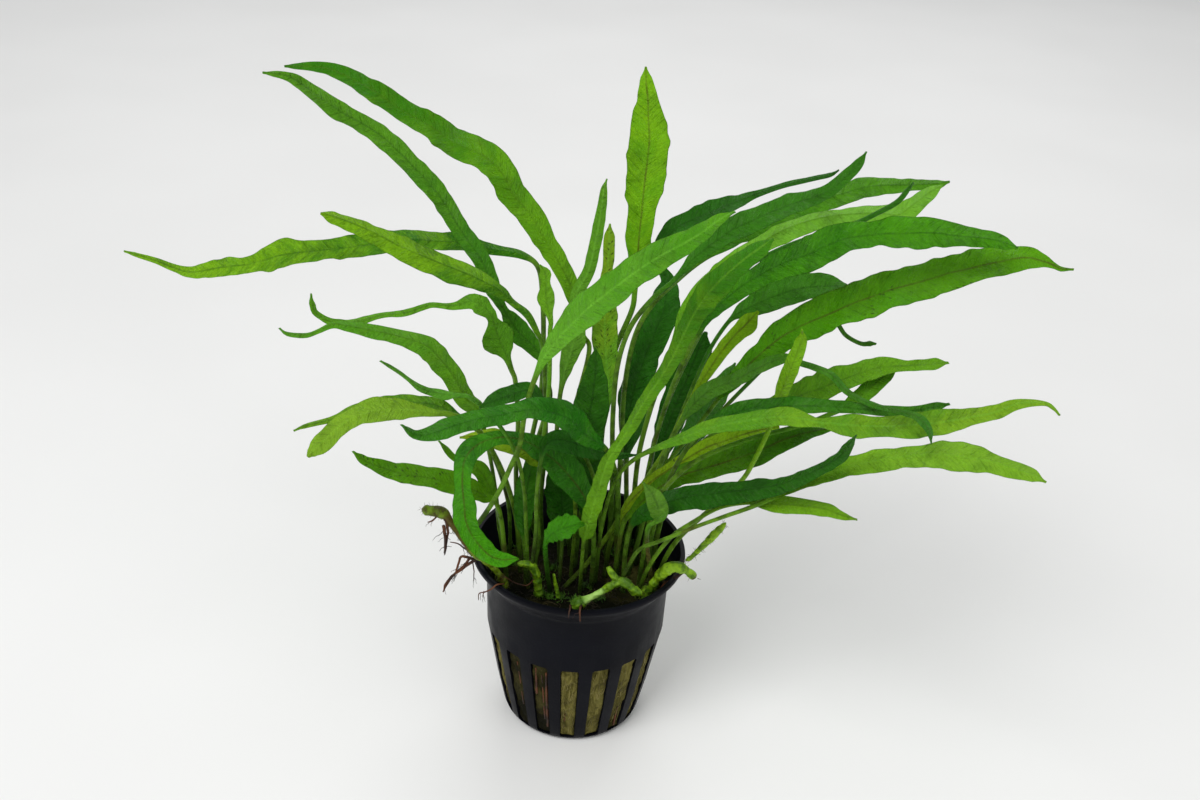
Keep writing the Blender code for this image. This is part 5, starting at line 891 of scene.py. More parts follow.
def leaf_material(name, look, stem, shift):
    """Leaf surface: mottled tissue, side veins, midrib, specks, pale underside and a painted sheen."""
    tip, low, sheen, rib, specks = look
    tip, low = (tuple(a * b for a, b in zip(linear(colour), GREENER)) for colour in (tip, low))
    dark = tint(low, 0.42)
    light = tint(tip, 1.55, 0.012)
    warm = (1.30 * low[0] + 0.012, 1.22 * low[1] + 0.010, low[2])
    # Colour of the painted sheen, a pale green that stands for the leaf's glossy reflection
    sheen_grey = (0.105, 0.235, 0.060)
    soft = min(1.0, max(0.45, 1.25 - 2.2 * low[1]))
    n = Nodes(name)
    along = n.value("along")
    off = n.value("off")
    blade = n.value("blade")
    vein = n.value("vein")
    spot = n.add("ShaderNodeCombineXYZ", {"X": vein, "Y": off, "Z": shift}, 0)

    # Tissue
    streaks = n.noise(1.0, 5.0, 0.68, (1.25, 0.62, 1.0), place=spot)
    bands = n.noise(1.0, 2.0, 0.5, (0.16, 0.10, 1.0), place=spot)
    patches = n.noise(150.0, 4.0, 0.6, turn=0.6)
    spread = n.math("ADD", along, n.times(n.math("SUBTRACT", bands, 0.5), 0.9))
    colour = n.layers(n.mix(n.ramp(spread, 0.42, 0.92), low, tip), (
        (bands, 0.52, 0.72, 0.40, warm), (streaks, 0.48, 0.70, 0.46 * soft, dark),
        (streaks, 0.46, 0.30, 0.36 * soft, light), (patches, 0.46, 0.70, 0.45, dark)))
    net = n.ramp(n.cells(1.15, spot, feature="DISTANCE_TO_EDGE"), 0.0, 0.13, 1.0, 0.0)
    colour = n.mix(n.times(net, 0.13), colour, light)
    grain = n.noise(1500.0, 2.0, 0.7)
    # Painted sheen: streaky pale green patches laid where the leaf would reflect light
    sheen_patches = n.noise(1.0, 5.0, 0.7, (0.9, 0.28, 1.0), place=spot)
    colour = n.layers(colour, ((grain, 0.48, 0.75, 0.22, dark), (sheen_patches, 0.50, 0.72, 0.60 * sheen, sheen_grey)))

    # Side veins and midrib
    wave = n.math("ABSOLUTE", n.math("SUBTRACT", n.math("FRACT", n.times(vein, 0.40)), 0.5))
    lines = n.times(n.times(n.ramp(wave, 0.0, 0.07, 1.0, 0.0), blade), n.ramp(patches, 0.35, 0.60))
    colour = n.mix(n.times(lines, 0.08), colour, dark)
    ribs = n.times(n.ramp(n.math("ABSOLUTE", off), 0.10, 0.34, 1.0, 0.0), blade)
    paint, strength = {BROWN: ((0.070, 0.052, 0.008), 0.60), PLAIN: (tint(low, 0.45), 0.45),
                       LIGHT: (tint(low, 1.5, 0.02), 0.28)}[rib]
    worn = n.ramp(n.noise(220.0, 2.0), 0.30, 0.60, 0.45, 1.0)
    colour = n.mix(n.times(n.times(ribs, strength), worn), colour, paint)

    # Stalk
    green = tuple(0.7 * a + 0.3 * b for a, b in zip(linear(stem), low))
    stalk = n.layers(green, (
        (n.noise(300.0, 3.0), 0.42, 0.66, 1.0, tint(green, 0.45)),
        # Darker over the lowest 16 mm of the stalk: moss and dirt, and painted shade inside the pot
        (n.value("low"), 16.0, 1.0, 0.75, (0.016, 0.024, 0.005)),
        (n.noise(110.0, 2.0), 0.58, 0.72, 0.55, (0.085, 0.060, 0.016))))
    foot = n.times(n.ramp(blade, 0.0, 0.55, 1.0, 0.0), n.ramp(along, 0.62, 0.45))
    colour = n.mix(foot, colour, stalk)

    # Margins, underside and specks
    colour = n.mix(n.times(n.ramp(n.value("edge"), 0.90, 1.0), 0.30), colour, dark)
    colour = n.mix(n.times(n.value("under"), 0.22), colour, light)
    if specks > 0.25:
        dots = n.ramp(n.cells(0.62, spot, feature="F1", voronoi_dimensions="2D"), 0.10, 0.20, 1.0, 0.0)
        keep = n.ramp(n.noise(140.0, 2.0), 0.64 - 0.18 * specks, 0.70 - 0.18 * specks)
        colour = n.mix(n.times(n.times(dots, keep), 0.7), colour, (0.020, 0.024, 0.006))

    # Shader
    n.feed(n.shader, {"Subsurface Weight": 0.06, "Subsurface Radius": (0.0006, 0.0012, 0.0003),
                      "Subsurface Scale": 1.0})
    height = n.math("ADD", n.times(streaks, 1.1), n.times(grain, 0.2))
    height = n.math("ADD", height, n.times(net, 0.12))
    height = n.math("SUBTRACT", height, n.times(lines, 0.25))
    rough = n.ramp(n.noise(240.0, 3.0), 0.3, 0.7, 0.20, 0.40)
    return n.finish(colour, rough, 0.11, height, 1.0, 0.0007)


def plastic_material():
    """Black plastic with a little dust."""
    n = Nodes("net_pot_black_plastic")
    colour = n.mix(n.ramp(n.noise(60.0, 3.0), 0.35, 0.7), (0.0026, 0.0028, 0.0048), (0.0046, 0.0050, 0.0080))
    dust = n.times(n.ramp(n.noise(900.0, 2.0), 0.68, 0.80), 0.12)
    rough = n.ramp(n.noise(130.0, 4.0), 0.3, 0.7, 0.34, 0.50)
    height = n.noise(1500.0, 3.0, 0.6)
    return n.finish(n.mix(dust, colour, (0.05, 0.05, 0.05)), rough, 0.06, height, 0.18, 0.0002)


def wool_material():
    """Khaki fibres with dark and mossy places, the dark partly the wool's own tone and partly painted shade.
    """
    n = Nodes("rock_wool_fibres")
    upright = n.noise(420.0, 5.0, 0.7, (1.0, 1.0, 0.20), 1.5)
    colour = n.mix(n.ramp(upright, 0.34, 0.64), (0.064, 0.053, 0.010), (0.205, 0.176, 0.048))
    colour = n.layers(colour, ((n.noise(130.0, 4.0), 0.52, 0.72, 0.5, (0.090, 0.085, 0.022)),
                               (n.noise(900.0, 3.0, 0.7), 0.57, 0.75, 0.5, (0.30, 0.26, 0.11))))
    for factor, paint in ((n.ramp(n.cells(260.0), 0.10, 0.22, 0.5, 0.0), (0.020, 0.015, 0.005)),
                          (n.value("moss"), (0.050, 0.085, 0.012)),
                          # Last darkening: the wool's own darker tone in the slots, and painted shade on the
                          # top inside the pot and in the empty bottom of slot 16
                          (n.value("tone_and_shade"), (0.0026, 0.0028, 0.0010))):
        colour = n.mix(factor, colour, paint)
    height = n.math("ADD", upright, n.times(n.noise(1800.0, 3.0, 0.7), 0.5))
    return n.finish(colour, 0.80, 0.06, height, 0.8, 0.0007)


def stem_material(name, high, low, scale=260.0):
    """Scaly rhizome surface, with pale smooth and brown worn stretches."""
    n = Nodes(name)
    low = linear(low)
    scales = n.cells(scale * 3.0)
    colour = n.mix(n.ramp(n.noise(scale, 4.0, 0.65, turn=0.8), 0.36, 0.66), low, linear(high))
    smooth = n.mix(n.ramp(n.noise(scale, 2.0), 0.35, 0.65), linear((124, 172, 62)), linear((164, 204, 104)))
    for factor, paint in ((n.ramp(scales, 0.05, 0.30, 0.55, 0.0), tint(low, 0.35)),
                          (n.value("pale"), smooth), (n.value("worn"), linear((78, 44, 20)))):
        colour = n.mix(factor, colour, paint)
    rough = n.ramp(n.noise(scale * 1.5, 2.0), 0.3, 0.7, 0.38, 0.62)
    height = n.math("ADD", n.noise(scale * 2.0, 4.0, 0.7), scales)
    return n.finish(colour, rough, 0.25, height, 0.9, 0.0005)


def thread_material(name, high, low):
    """Fine hairs, roots and strands."""
    n = Nodes(name)
    return n.finish(n.mix(n.ramp(n.noise(190.0, 3.0), 0.35, 0.65), linear(low), linear(high)), 0.6, 0.3)


# Leaves

def detailed_leaf(leaf, depth, seed):
    """A leaf blade with wavy margins, a raised midrib and a round stalk."""
    rng = np.random.default_rng(seed)
    name, slot, look, _, _, foot, route = leaf
    fine = smooth_path(leaf_route(foot, route), BLADE_STEP, 12, MOST_POINTS)
    fine_depth = curve_through(depth, len(fine))
    centre, half, side, face = frames(fine, fine_depth, 13)
    width = fine[:, 2]
    run = run_along(centre)
    to_tip = run[-1] - run
    half = half * WIDEN.get(name, 1.0)
    if name in BLUNT:
        near = np.sqrt(np.clip((to_tip + 0.15) / 1.2, 0.0, 1.0)) * np.clip(1.0 - to_tip / 9.0, 0.0, 1.0)
        half = np.maximum(half, BLUNT[name] * near)
        width = np.maximum(width, 2.0 * half)
    blade = ease(np.clip((width - 1.5) / 1.7, 0.0, 1.0))
    blade = np.where(run > 0.35 * run[-1], np.maximum.accumulate(blade), blade)
    stalk = 1.0 - blade
    ragged = RAGGED.get(name, 0.075)
    teeth = TOOTHED.get(name, 0.0) * (np.abs(np.sin(1.5 * run)) - 0.6)

    def waves(*pairs, start=0.0):
        """The start value with waves of noise along the leaf added, each by its share."""
        for share, wavelength in pairs:
            start = start + share * wave_noise(rng, run, wavelength)
        return start

    margins = [half * (1.0 + blade * waves((0.06, 5.5), (ragged, 1.9), start=teeth)) for _ in range(2)]
    ruffles = [blade * half * waves((0.16, 6.5), (0.09, 2.4)) for _ in range(2)]
    fold = rng.uniform(0.06, 0.22) * np.where(rng.random() < 0.75, 1.0, -1.0)
    fold = waves((0.12, 22.0), start=fold)
    # Two of the four waves are used. The other two keep the draw after them in its place.
    pucker = [waves((0.09, 2.6)) for _ in range(4)]
    round_r = np.minimum(0.5 * width, rng.uniform(0.46, 0.62)) * nearness(fine_depth)
    tip_taper = np.clip(to_tip / 2.5, 0.25, 1.0) ** 0.6
    top = []
    bottom = []
    offs = []
    for v in ACROSS:
        part = np.where(v < 0.0, *margins) * v
        lift = blade * half * fold * abs(v) + np.where(v < 0.0, *ruffles) * abs(v) ** 1.6
        lift = lift + blade * (pucker[0] * math.sin(3.0 * v) + pucker[1] * math.cos(5.0 * v)) * half * 0.5
        thin = (0.40 - 0.24 * abs(v)) * 0.5
        ridge = np.exp(-(np.abs(part) / RIDGE_WIDTH) ** 2)
        circle = stalk * round_r * math.sqrt(max(0.0, 1.0 - v * v))
        middle = centre + side * ((blade * part + stalk * round_r * v) * tip_taper)[:, None]
        top.append(middle + face * (blade * (lift + thin + RIDGE_ABOVE * ridge) + circle)[:, None])
        bottom.append(middle + face * (blade * (lift - thin - RIDGE_BELOW * ridge) - circle)[:, None])
        offs.append(np.abs(part))

    def round_trip(over, below):
        """Columns over the top and back along the underside."""
        return list(over) + list(below)[-2:0:-1]

    grid = np.stack(round_trip(top, bottom), axis=1)
    below_foot = grid[:1] + (centre[0] - centre[1]) / np.linalg.norm(centre[0] - centre[1]) * FOOT_RUN
    grid = np.concatenate([below_foot, grid])
    run = np.concatenate([[-FOOT_RUN], run])
    offs = np.stack(round_trip(offs, offs), axis=1)
    offs = np.concatenate([offs[:1], offs])
    signs = np.array(round_trip(ACROSS, ACROSS))
    n_rows, n_cols = grid.shape[:2]
    data = {
        "along": np.repeat(np.clip(run / run[-1], 0.0, 1.0), n_cols),
        "off": (offs * np.sign(signs)).ravel(),
        "low": np.repeat(run, n_cols),
        "blade": np.repeat(np.concatenate([blade[:1], blade]), n_cols),
        "under": np.tile(round_trip(np.zeros(len(ACROSS)), np.ones(len(ACROSS))), n_rows),
        "vein": (run[:, None] - offs * 0.85).ravel(),
        "edge": np.tile(np.abs(signs), n_rows),
    }
    tissue = leaf_material(name + "_detail_tissue", look, STALKS.get(name, STALK), 3.7 * seed)
    mesh_object(name + "_detail", grid, ring_faces(n_rows, n_cols), data, tissue, (name,))


# Tubes for rhizomes, roots and fibres

def tube_points(points, sides, bump=None):
    """Rings of points along a route of x, y, z and radius."""
    pts = np.asarray(points, float)
    along = unit(np.gradient(pts[:, :3], axis=0))
    ref = np.array([0.0, 0.0, 1.0]) if abs(along[0, 2]) < 0.9 else np.array([1.0, 0.0, 0.0])
    turn = np.linspace(0.0, 2.0 * math.pi, sides, endpoint=False)
    rings = []
    for i, ahead in enumerate(along):
        ref = ref - ahead * np.dot(ref, ahead)
        ref = ref / np.linalg.norm(ref)
        radius = pts[i, 3] * (1.0 if bump is None else bump[i])
        ring = np.outer(np.cos(turn), ref) + np.outer(np.sin(turn), np.cross(ahead, ref))
        rings.append(pts[i, :3] + ring * np.reshape(radius, (-1, 1)))
    return np.array(rings)


def bundle(name, routes, sides, material, nodes=(), bump=None, data=None):
    """Several tubes in one mesh, each a closed body."""
    verts = []
    faces = []
    for route in routes:
        rings = tube_points(route, sides, bump)
        faces += ring_faces(len(rings), sides, len(verts))
        verts += rings.reshape(-1, 3).tolist()
    mesh_object(name, np.array(verts), faces, data or {}, material, nodes)


def hair(start, direction, reach, bend, radius, taper):
    """A short bent hair that thins towards its end."""
    return np.array([np.append(start + direction * reach * t + bend * t * t, radius * (1.0 - taper * t))
                     for t in HAIR_STEPS])


def stretch_share(run, start, end, soft):
    """1 inside a stretch of a run and 0 outside, with soft ends."""
    return np.clip(np.minimum(run - start, end - run) / soft, 0.0, 1.0)


def detailed_rhizome(name, slot, points, seed, material):
    """A knobbly stem with short scales. Gives its hairs."""
    rng = np.random.default_rng(seed)
    route = smooth_path(points, STEM_STEP, 12, MOST_POINTS)
    run = np.arange(len(route)) * STEM_STEP
    pale = np.zeros(len(run))
    worn = np.zeros(len(run))
    if name in SMOOTH_PART:
        pale = stretch_share(run, *SMOOTH_PART[name], 0.7)
    if name in WORN_TIP:
        worn = np.clip((WORN_TIP[name] - run) / 0.6, 0.0, 1.0)
    if name in WORN_PART:
        worn = np.maximum(worn, 0.8 * stretch_share(run, *WORN_PART[name], 1.5))
    rough = 1.0 - 0.85 * pale
    bump = 1.0 + rough * (0.14 * wave_noise(rng, run, 2.4) + 0.18 * wave_noise(rng, run, 0.9))
    bump = np.repeat(bump[:, None], STEM_SIDES, axis=1)
    for c in range(0, STEM_SIDES, 4):
        knob = 0.20 * rough * np.clip(wave_noise(rng, run, 1.4), 0.0, 1.0)
        for d, share in ((-1, 0.5), (0, 1.0), (1, 0.5)):
            bump[:, (c + d) % STEM_SIDES] += share * knob
    ends = stretch_share(run, 0.0, run[-1], 1.1)
    bump = bump * np.sqrt(np.clip(1.0 - (1.0 - ends) ** 2, 0.06, 1.0))[:, None]
    route[:, 3] *= 0.96
    data = {"pale": np.repeat(pale, STEM_SIDES), "worn": np.repeat(worn, STEM_SIDES)}
    bundle(name + "_detail", [route], STEM_SIDES, material, (name,), bump, data)
    hairs = []
    for _ in range(int(len(route) * (5.0 if slot == "rhizome_brown" else 3.2))):
        i = rng.integers(1, len(route) - 1)
        if pale[i] > rng.random() * 0.9:
            continue
        d = rng.normal(size=3)
        d /= np.linalg.norm(d)
        start = route[i, :3] + d * route[i, 3] * 0.85
        hairs.append(hair(start, d, rng.uniform(0.35, 0.95), rng.normal(size=3) * 0.25, 0.055, 0.7))
    return hairs


def root_route(rng, points, wiggle, spacing=0.8):
    """A root along a route, with small kinks."""
    route = smooth_path(points, spacing, 8, MOST_POINTS)
    run = np.arange(len(route)) * spacing
    fade = np.clip(run / 3.0, 0.0, 1.0)
    for c in range(3):
        route[:, c] += wiggle * fade * (wave_noise(rng, run, 2.6) + 0.5 * wave_noise(rng, run, 1.1))
    return route


def side_roots(rng, route, count, length, radius):
    """Fine branches off a root, drooping."""
    made = []
    for _ in range(count):
        i = rng.integers(2, len(route) - 1)
        d = rng.normal(size=3) * [1.0, 1.0, 0.5]
        d[2] -= 0.5
        d /= np.linalg.norm(d)
        reach = rng.uniform(0.4, 1.0) * length
        pts = []
        for t in np.linspace(0.0, 1.0, 7):
            spot = route[i, :3] + d * reach * t + np.array([0.0, 0.0, -0.5 * reach * t * t])
            spot = spot + rng.normal(size=3) * 0.10 * min(1.0, 3.0 * t)
            pts.append(np.append(spot, radius * (1.0 - 0.6 * t)))
        made.append(np.array(pts))
    return made


# Pot and rock wool

def wedge(bm, angle, half, r0, r1, z0, z1):
    """A block with sides on radial planes."""
    corners = []
    for z in (z0, z1):
        for r, a in ((r0, -half), (r1, -half), (r1, half), (r0, half)):
            t = angle + a
            corners.append(bm.verts.new((r * math.sin(t) * MM, -r * math.cos(t) * MM, z * MM)))
    sides = [(0, 1, 2, 3), (7, 6, 5, 4), (0, 4, 5, 1), (1, 5, 6, 2), (2, 6, 7, 3), (3, 7, 4, 0)]
    for side in sides:
        bm.faces.new([corners[i] for i in side])


def object_from(bm, name):
    """An object with the mesh of a bmesh, which is freed."""
    mesh = bpy.data.meshes.new(name)
    bm.to_mesh(mesh)
    bm.free()
    return new_object(name, mesh)


def pot_profile():
    """Radius and height round the section of the pot, from the lip down and back up inside."""
    lip = RIM_R - LIP
    low = RIM_BAND_Z - 0.4
    profile = [(lip, POT_H - 0.25), (lip + 0.15, POT_H - 0.05), (lip + 0.4, POT_H), (RIM_R - 0.4, POT_H),
               (RIM_R - 0.12, POT_H - 0.12), (RIM_R, POT_H - 0.4), (RIM_R, POT_H - 1.1)]
    profile += [(pot_radius(z), z) for z in (45.6, 44.2, 43.0, RIM_BAND_Z + 0.2, low, 36.0, SLOT_TOP_Z,
                                             20.0, 12.0, 6.0, 2.4, 1.2, 0.6, 0.2, 0.0)]
    radii = (FLOOR_SLOT_OUT_R, FLOOR_SLOT_IN_R, 0.0)
    profile += [(r, 0.0) for r in radii] + [(r, FLOOR) for r in reversed(radii)]
    profile += [(pot_radius(z) - WALL, z) for z in (FLOOR, 6.0, 12.0, 20.0, SLOT_TOP_Z, 36.0, low,
                                                    RIM_BAND_Z + 1.0)]
    return profile + [(lip - 0.3, POT_H - 1.8)]


def slot_cutter():
    """Wedges for the side slots and the slots of the base, with rounded upper corners."""
    bm = bmesh.new()
    for k in range(SLOTS):
        wedge(bm, SLOT_TURN + k * SLOT_PITCH, SLOT_HALF_ANGLE, FOOT_R - 2.4, 30.0, SLOT_LOW_Z, SLOT_TOP_Z)
    for k in range(FLOOR_SLOTS):
        wedge(bm, SLOT_TURN + k * 2.0 * math.pi / FLOOR_SLOTS, FLOOR_SLOT_HALF_ANGLE,
              FLOOR_SLOT_IN_R, FLOOR_SLOT_OUT_R, -2.0, FLOOR + 1.0)
    bmesh.ops.recalc_face_normals(bm, faces=bm.faces[:])
    rounded = []
    for edge in bm.edges:
        a, b = (v.co for v in edge.verts)
        outward = abs(math.hypot(*a[:2]) - math.hypot(*b[:2])) > 0.002
        if abs(a.z - b.z) < 1e-6 and outward and a.z > 0.001:
            rounded.append(edge)
    bmesh.ops.bevel(bm, geom=rounded, offset=0.0003, segments=2, affect="EDGES")
    return object_from(bm, "slots")


def detailed_pot():
    """The pot with a rolled rim and softened edges."""
    profile = pot_profile()
    bm = bmesh.new()
    verts = [bm.verts.new((r * MM, 0.0, z * MM)) for r, z in profile]
    for i in range(len(verts)):
        j = (i + 1) % len(verts)
        if profile[i][0] > 1e-6 or profile[j][0] > 1e-6:
            bm.edges.new((verts[i], verts[j]))
    pot = object_from(bm, "net_pot_detail")
    cutter = slot_cutter()
    for kind, settings in (
            ("SCREW", {"steps": TURN_STEPS, "render_steps": TURN_STEPS, "use_merge_vertices": True,
                       "merge_threshold": 0.00001}),
            ("BOOLEAN", {"operation": "DIFFERENCE", "solver": "EXACT", "object": cutter}),
            ("BEVEL", {"width": 0.00018, "segments": 2, "limit_method": "ANGLE",
                       "angle_limit": math.radians(50.0)})):
        modifier = pot.modifiers.new(kind, kind)
        for key, value in settings.items():
            setattr(modifier, key, value)
    evaluated = pot.evaluated_get(bpy.context.evaluated_depsgraph_get())
    done = bpy.data.meshes.new_from_object(evaluated)
    pot.modifiers.clear()
    pot.data = done
    bpy.data.objects.remove(cutter)
    done.shade_smooth()
    done.set_sharp_from_angle(angle=math.radians(38.0))
    done.materials.clear()
    settle(pot, plastic_material(), ("net_pot",))


def ring_at(radius, angles, z):
    """Points at a radius and height, at the given angles round the pot."""
    return np.stack([radius * np.sin(angles), -radius * np.cos(angles), np.full(len(angles), z)], axis=1)


def detailed_wool():
    """The rock wool plug: shaggy sides that fill the slots, and a lumpy, mossy top."""
    half = [0.55, 1.6, 2.6, 3.6, 4.8, 5.6, 5.74, 6.0, 6.6, 7.4, 8.4, 9.3]
    offsets = np.radians([-a for a in reversed(half)] + half)
    number = np.repeat(np.arange(SLOTS), len(offsets))
    slot_at = np.tile(offsets, SLOTS)
    angles = SLOT_TURN + number * SLOT_PITCH + slot_at
    in_slot = np.clip((SLOT_HALF_ANGLE - 0.0013 - np.abs(slot_at)) / 0.0018, 0.0, 1.0)
    rng = np.random.default_rng(5)
    dark_slot = rng.uniform(0.0, 0.35, SLOTS)
    low_dark = rng.choice([0.0, 0.0, 0.6], SLOTS)
    for k, dim, foot in SLOT_SHADES:
        dark_slot[k] = dim
        low_dark[k] = foot
    rows = []
    tone_and_shade = []
    moss = []
    low_rows = np.linspace(FLOOR + GAP, SLOT_TOP_Z - 0.35, 60)
    for z in np.concatenate([low_rows, np.linspace(SLOT_TOP_Z, 36.8, 10)]):
        r = min(pot_radius(z) - WALL - GAP - 0.1, WOOL_R)
        ring = ring_at(r, angles, z)
        rough = bumps_at(3, ring, 14, 0.5, 3.2)
        bulge = in_slot if z < SLOT_TOP_Z - 0.3 else 0.0 * in_slot
        radius = r + bulge * 1.05 - 0.15 + 0.20 * np.clip(rough, -1.8, 1.0) * (0.4 + 0.6 * bulge)
        rows.append(ring_at(radius, angles, z))
        # Darker slots, darker low down and blotches: the wool's own tone, with painted shade in the empty
        # bottom of slot 16
        foot = np.clip((9.0 - z + 1.5 * rough) / 3.0, 0.0, 1.0) * low_dark[number]
        blotch = 0.16 * np.clip(bumps_at(8, ring, 8, 0.3, 0.9), 0.0, 2.0)
        tone_and_shade.append(np.clip(dark_slot[number] + foot + blotch, 0.0, 0.96))
        moss.append(np.full(len(angles), 0.08))
    for r in np.concatenate([[WOOL_R - 0.6], np.linspace(WOOL_R - 1.6, 0.8, 34)]):
        ring = ring_at(r, angles, 0.0)
        x, y = ring[:, 0], ring[:, 1]
        lump = bumps_at(21, ring, 12, 0.25, 1.3)
        ring[:, 2] = [wool_height(a, b) for a, b in zip(x, y)]
        ring[:, 2] += 0.22 * np.clip(lump, -2.0, 0.6) - 0.15
        rows.append(ring)
        # The top is painted shade: darkened almost to black inside the pot, less at two patches where
        # greenish wool shows
        patch = np.exp(-(((x - 15.5) / 5.0) ** 2 + ((y - 7.0) / 11.0) ** 2))
        patch = patch + 0.5 * np.exp(-(((x + 16.0) / 5.0) ** 2 + ((y - 10.0) / 6.0) ** 2))
        tone_and_shade.append(np.clip(0.95 - 0.66 * patch + 0.05 * lump, 0.10, 0.98))
        moss.append(np.clip(0.35 + 0.25 * lump, 0.0, 0.9))
    data = {"tone_and_shade": np.concatenate(tone_and_shade), "moss": np.concatenate(moss)}
    mesh_object("rock_wool_detail", np.array(rows), ring_faces(len(rows), len(angles)), data,
                wool_material(), ("rock_wool",))


def top_strands():
    """Loose strands lying on the top of the rock wool."""
    rng = np.random.default_rng(77)
    routes = []
    for _ in range(420):
        r = WOOL_R * math.sqrt(rng.random()) * 0.97
        t = rng.uniform(0.0, 2.0 * math.pi)
        x, y = r * math.cos(t), r * math.sin(t)
        head = rng.uniform(0.0, 2.0 * math.pi)
        size = rng.uniform(1.5, 4.0)
        lift = rng.uniform(0.1, 0.7)
        pts = []
        for s in np.linspace(-0.5, 0.5, 6):
            px = x + math.cos(head + s) * size * s
            py = y + math.sin(head + s) * size * s
            hold = max(1.0, math.hypot(px, py) / (WOOL_R - 0.3))
            px, py = px / hold, py / hold
            pts.append([px, py, wool_height(px, py) - 0.1 + lift * (1.0 - 4.0 * s * s), 0.06])
        routes.append(np.array(pts))
    return routes


def slot_strand(rng, k, centre, wander, z0, size, radius):
    """One strand up a slot, kept inside it."""
    reach = SLOT_HALF_ANGLE * 0.84
    lean = rng.normal() * wander
    pts = []
    for s in np.linspace(0.0, 1.0, 7):
        z = z0 + size * s
        a = float(np.clip(centre + lean * size * s, -reach, reach)) + SLOT_TURN + k * SLOT_PITCH
        r = pot_radius(z) - 0.62 + 0.14 * math.sin(3.0 * s + centre * 80.0)
        pts.append([r * math.sin(a), -r * math.cos(a), z, radius * (1.0 - 0.4 * s)])
    return np.array(pts)


def slot_strands():
    """Fine strands of wool in the slots that are not dark."""
    rng = np.random.default_rng(78)
    routes = []
    for k in range(SLOTS):
        for _ in range(30):
            centre = rng.uniform(-0.8, 0.8) * SLOT_HALF_ANGLE
            z0 = rng.uniform(2.4, SLOT_TOP_Z - 5.6)
            strand = slot_strand(rng, k, centre, 0.010, z0, rng.uniform(2.0, 5.0), 0.07)
            if k not in DARK_SLOTS:
                routes.append(strand)
    return routes


def slot_roots():
    """Brown roots pressed against the slots."""
    rng = np.random.default_rng(79)
    return [slot_strand(rng, k, centre, 0.0012, *rest) for k, centre, *rest in SLOT_ROOTS]


def moss_tufts():
    """Short green strands in small clumps."""
    rng = np.random.default_rng(91)
    routes = []
    for x, y, z, reach, count in MOSS:
        for _ in range(count):
            spot = np.array([x, y, z]) + rng.normal(size=3) * [reach * 0.55, reach * 0.55, 0.15]
            d = rng.normal(size=3)
            d[2] = abs(d[2]) + 0.5
            d /= np.linalg.norm(d)
            size = rng.uniform(0.5, 1.0) * reach
            routes.append(hair(spot, d, size, rng.normal(size=3) * 0.3, 0.10, 0.6))
    return routes


# Camera and studio

def make_camera():
    """The camera of the photo, slightly rolled."""
    eye = Vector(EYE) * MM
    aim = Vector((0.003, 0.0, 0.089))
    ahead = (aim - eye).normalized()
    right = ahead.cross(Vector((0.0, 0.0, 1.0))).normalized()
    up = right.cross(ahead)
    roll = math.radians(3.4)
    x_axis = right * math.cos(roll) + up * math.sin(roll)
    y_axis = up * math.cos(roll) - right * math.sin(roll)
    data = bpy.data.cameras.new("camera")
    data.sensor_width = 36.0
    data.lens = 40.5
    data.clip_start = 0.01
    data.clip_end = 20.0
    camera = new_object("camera", data)
    rot = Matrix((x_axis, y_axis, -ahead)).transposed().to_4x4()
    camera.matrix_world = Matrix.Translation(eye) @ rot
    bpy.context.scene.camera = camera


def area_light(name, place, size, power, colour):
    """A rectangular light aimed at the middle of the plant."""
    data = bpy.data.lights.new(name, "AREA")
    data.shape = "RECTANGLE"
    data.size, data.size_y = size
    data.energy = power
    data.color = colour
    lamp = new_object(name, data)
    lamp.location = place
    aim = Vector((0.0, 0.0, 0.09)) - Vector(place)
    lamp.rotation_euler = aim.to_track_quat("-Z", "Y").to_euler()


def make_studio():
    """A pale floor, an even world and three lights."""
    bpy.context.scene.view_settings.view_transform = "Standard"
    bpy.ops.mesh.primitive_plane_add(size=8.0, location=(0.0, 0.0, 0.0))
    floor = bpy.context.active_object
    floor.name = "floor"
    n = Nodes("floor_pale")
    tones = n.mix(n.ramp(n.noise(6.0, 2.0), 0.3, 0.7), (0.80, 0.80, 0.79), (0.83, 0.83, 0.82))
    floor.data.materials.append(n.finish(tones, 0.7, 0.5))
    world = bpy.data.worlds.new("studio")
    world.use_nodes = True
    background = world.node_tree.nodes["Background"]
    background.inputs["Color"].default_value = (0.98, 0.99, 1.0, 1.0)
    background.inputs["Strength"].default_value = 0.44
    bpy.context.scene.world = world
    area_light("key", (-0.45, -0.55, 0.95), (0.6, 0.6), 8.6, (1.0, 1.0, 1.0))
    area_light("fill", (0.75, -0.55, 0.55), (0.7, 0.7), 2.2, (1.0, 0.99, 0.97))
    area_light("back", (0.15, 0.75, 0.75), (0.8, 0.5), 2.8, (1.0, 1.0, 1.0))


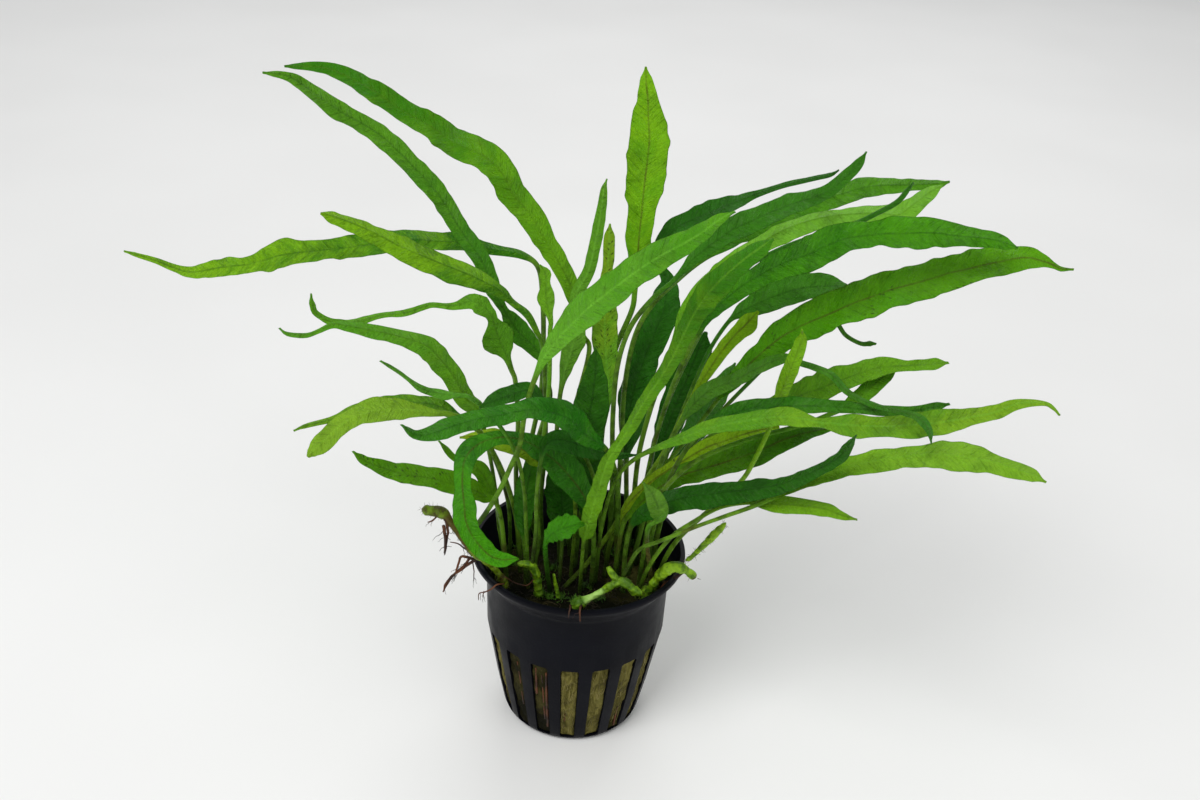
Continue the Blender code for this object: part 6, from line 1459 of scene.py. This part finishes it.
def main():
    """Build the whole scene."""
    make_camera()
    make_studio()
    detailed_pot()
    detailed_wool()
    # The strands on the top are dark copies of the khaki strands: painted shade inside the pot
    bundle("rock_wool_top_strands", top_strands(), 5,
           thread_material("strands_painted_shade", (60, 52, 24), (15, 13, 6)))
    bundle("rock_wool_slot_strands", slot_strands(), 5,
           thread_material("strands_khaki", (138, 128, 72), (76, 66, 28)))
    root_brown = thread_material("root_brown_fine", (96, 54, 26), (40, 22, 12))
    root_black = thread_material("root_black_fine", (60, 38, 26), (20, 12, 8))
    hair_green = thread_material("hair_green_brown", (88, 108, 30), (64, 44, 18))
    moss_green = thread_material("moss_green", (76, 122, 26), (26, 52, 10))
    stems = {"rhizome_brown": stem_material("rhizome_brown_scaly", (116, 150, 24), (66, 58, 12)),
             "rhizome_green": stem_material("rhizome_green_scaly", (140, 184, 28), (62, 100, 8))}
    bundle("slot_roots", slot_roots(), 8, root_brown)
    bundle("moss_tufts", moss_tufts(), 4, moss_green)
    hairs = []
    for k, (name, slot, points) in enumerate(RHIZOMES):
        hairs += detailed_rhizome(name, slot, points, 40 + k, stems[slot])
    fine = []
    for k, (name, slot, points) in enumerate(ROOTS):
        if slot == "root_dark":
            rng = np.random.default_rng(60 + k)
            route = root_route(rng, points, 0.16)
            bundle(name + "_detail", [route], 8, root_brown, (name,))
            fine += side_roots(rng, route, 5, 3.2, 0.11)
        else:
            hairs += detailed_rhizome(name, slot, points, 60 + k, stems[slot])
    bundle("rhizome_hairs", hairs, 4, hair_green)
    stubs = [smooth_path(points, 0.5, 8, 60) for points in STUBS]
    bundle("bare_stubs", stubs, 16, stems["rhizome_green"])
    rng = np.random.default_rng(71)
    loose = [root_route(rng, points, 0.18, 0.5) for points in LOOSE_ROOTS]
    for route in loose:
        fine += side_roots(rng, route, 2, 2.2, 0.08)
    bundle("loose_roots", loose, 8, root_brown)
    bundle("fine_roots", fine, 5, root_black)
    for k, (leaf, depth) in enumerate(zip(LEAVES, clear_crossings(LEAVES))):
        detailed_leaf(leaf, depth, 100 + k)


main()
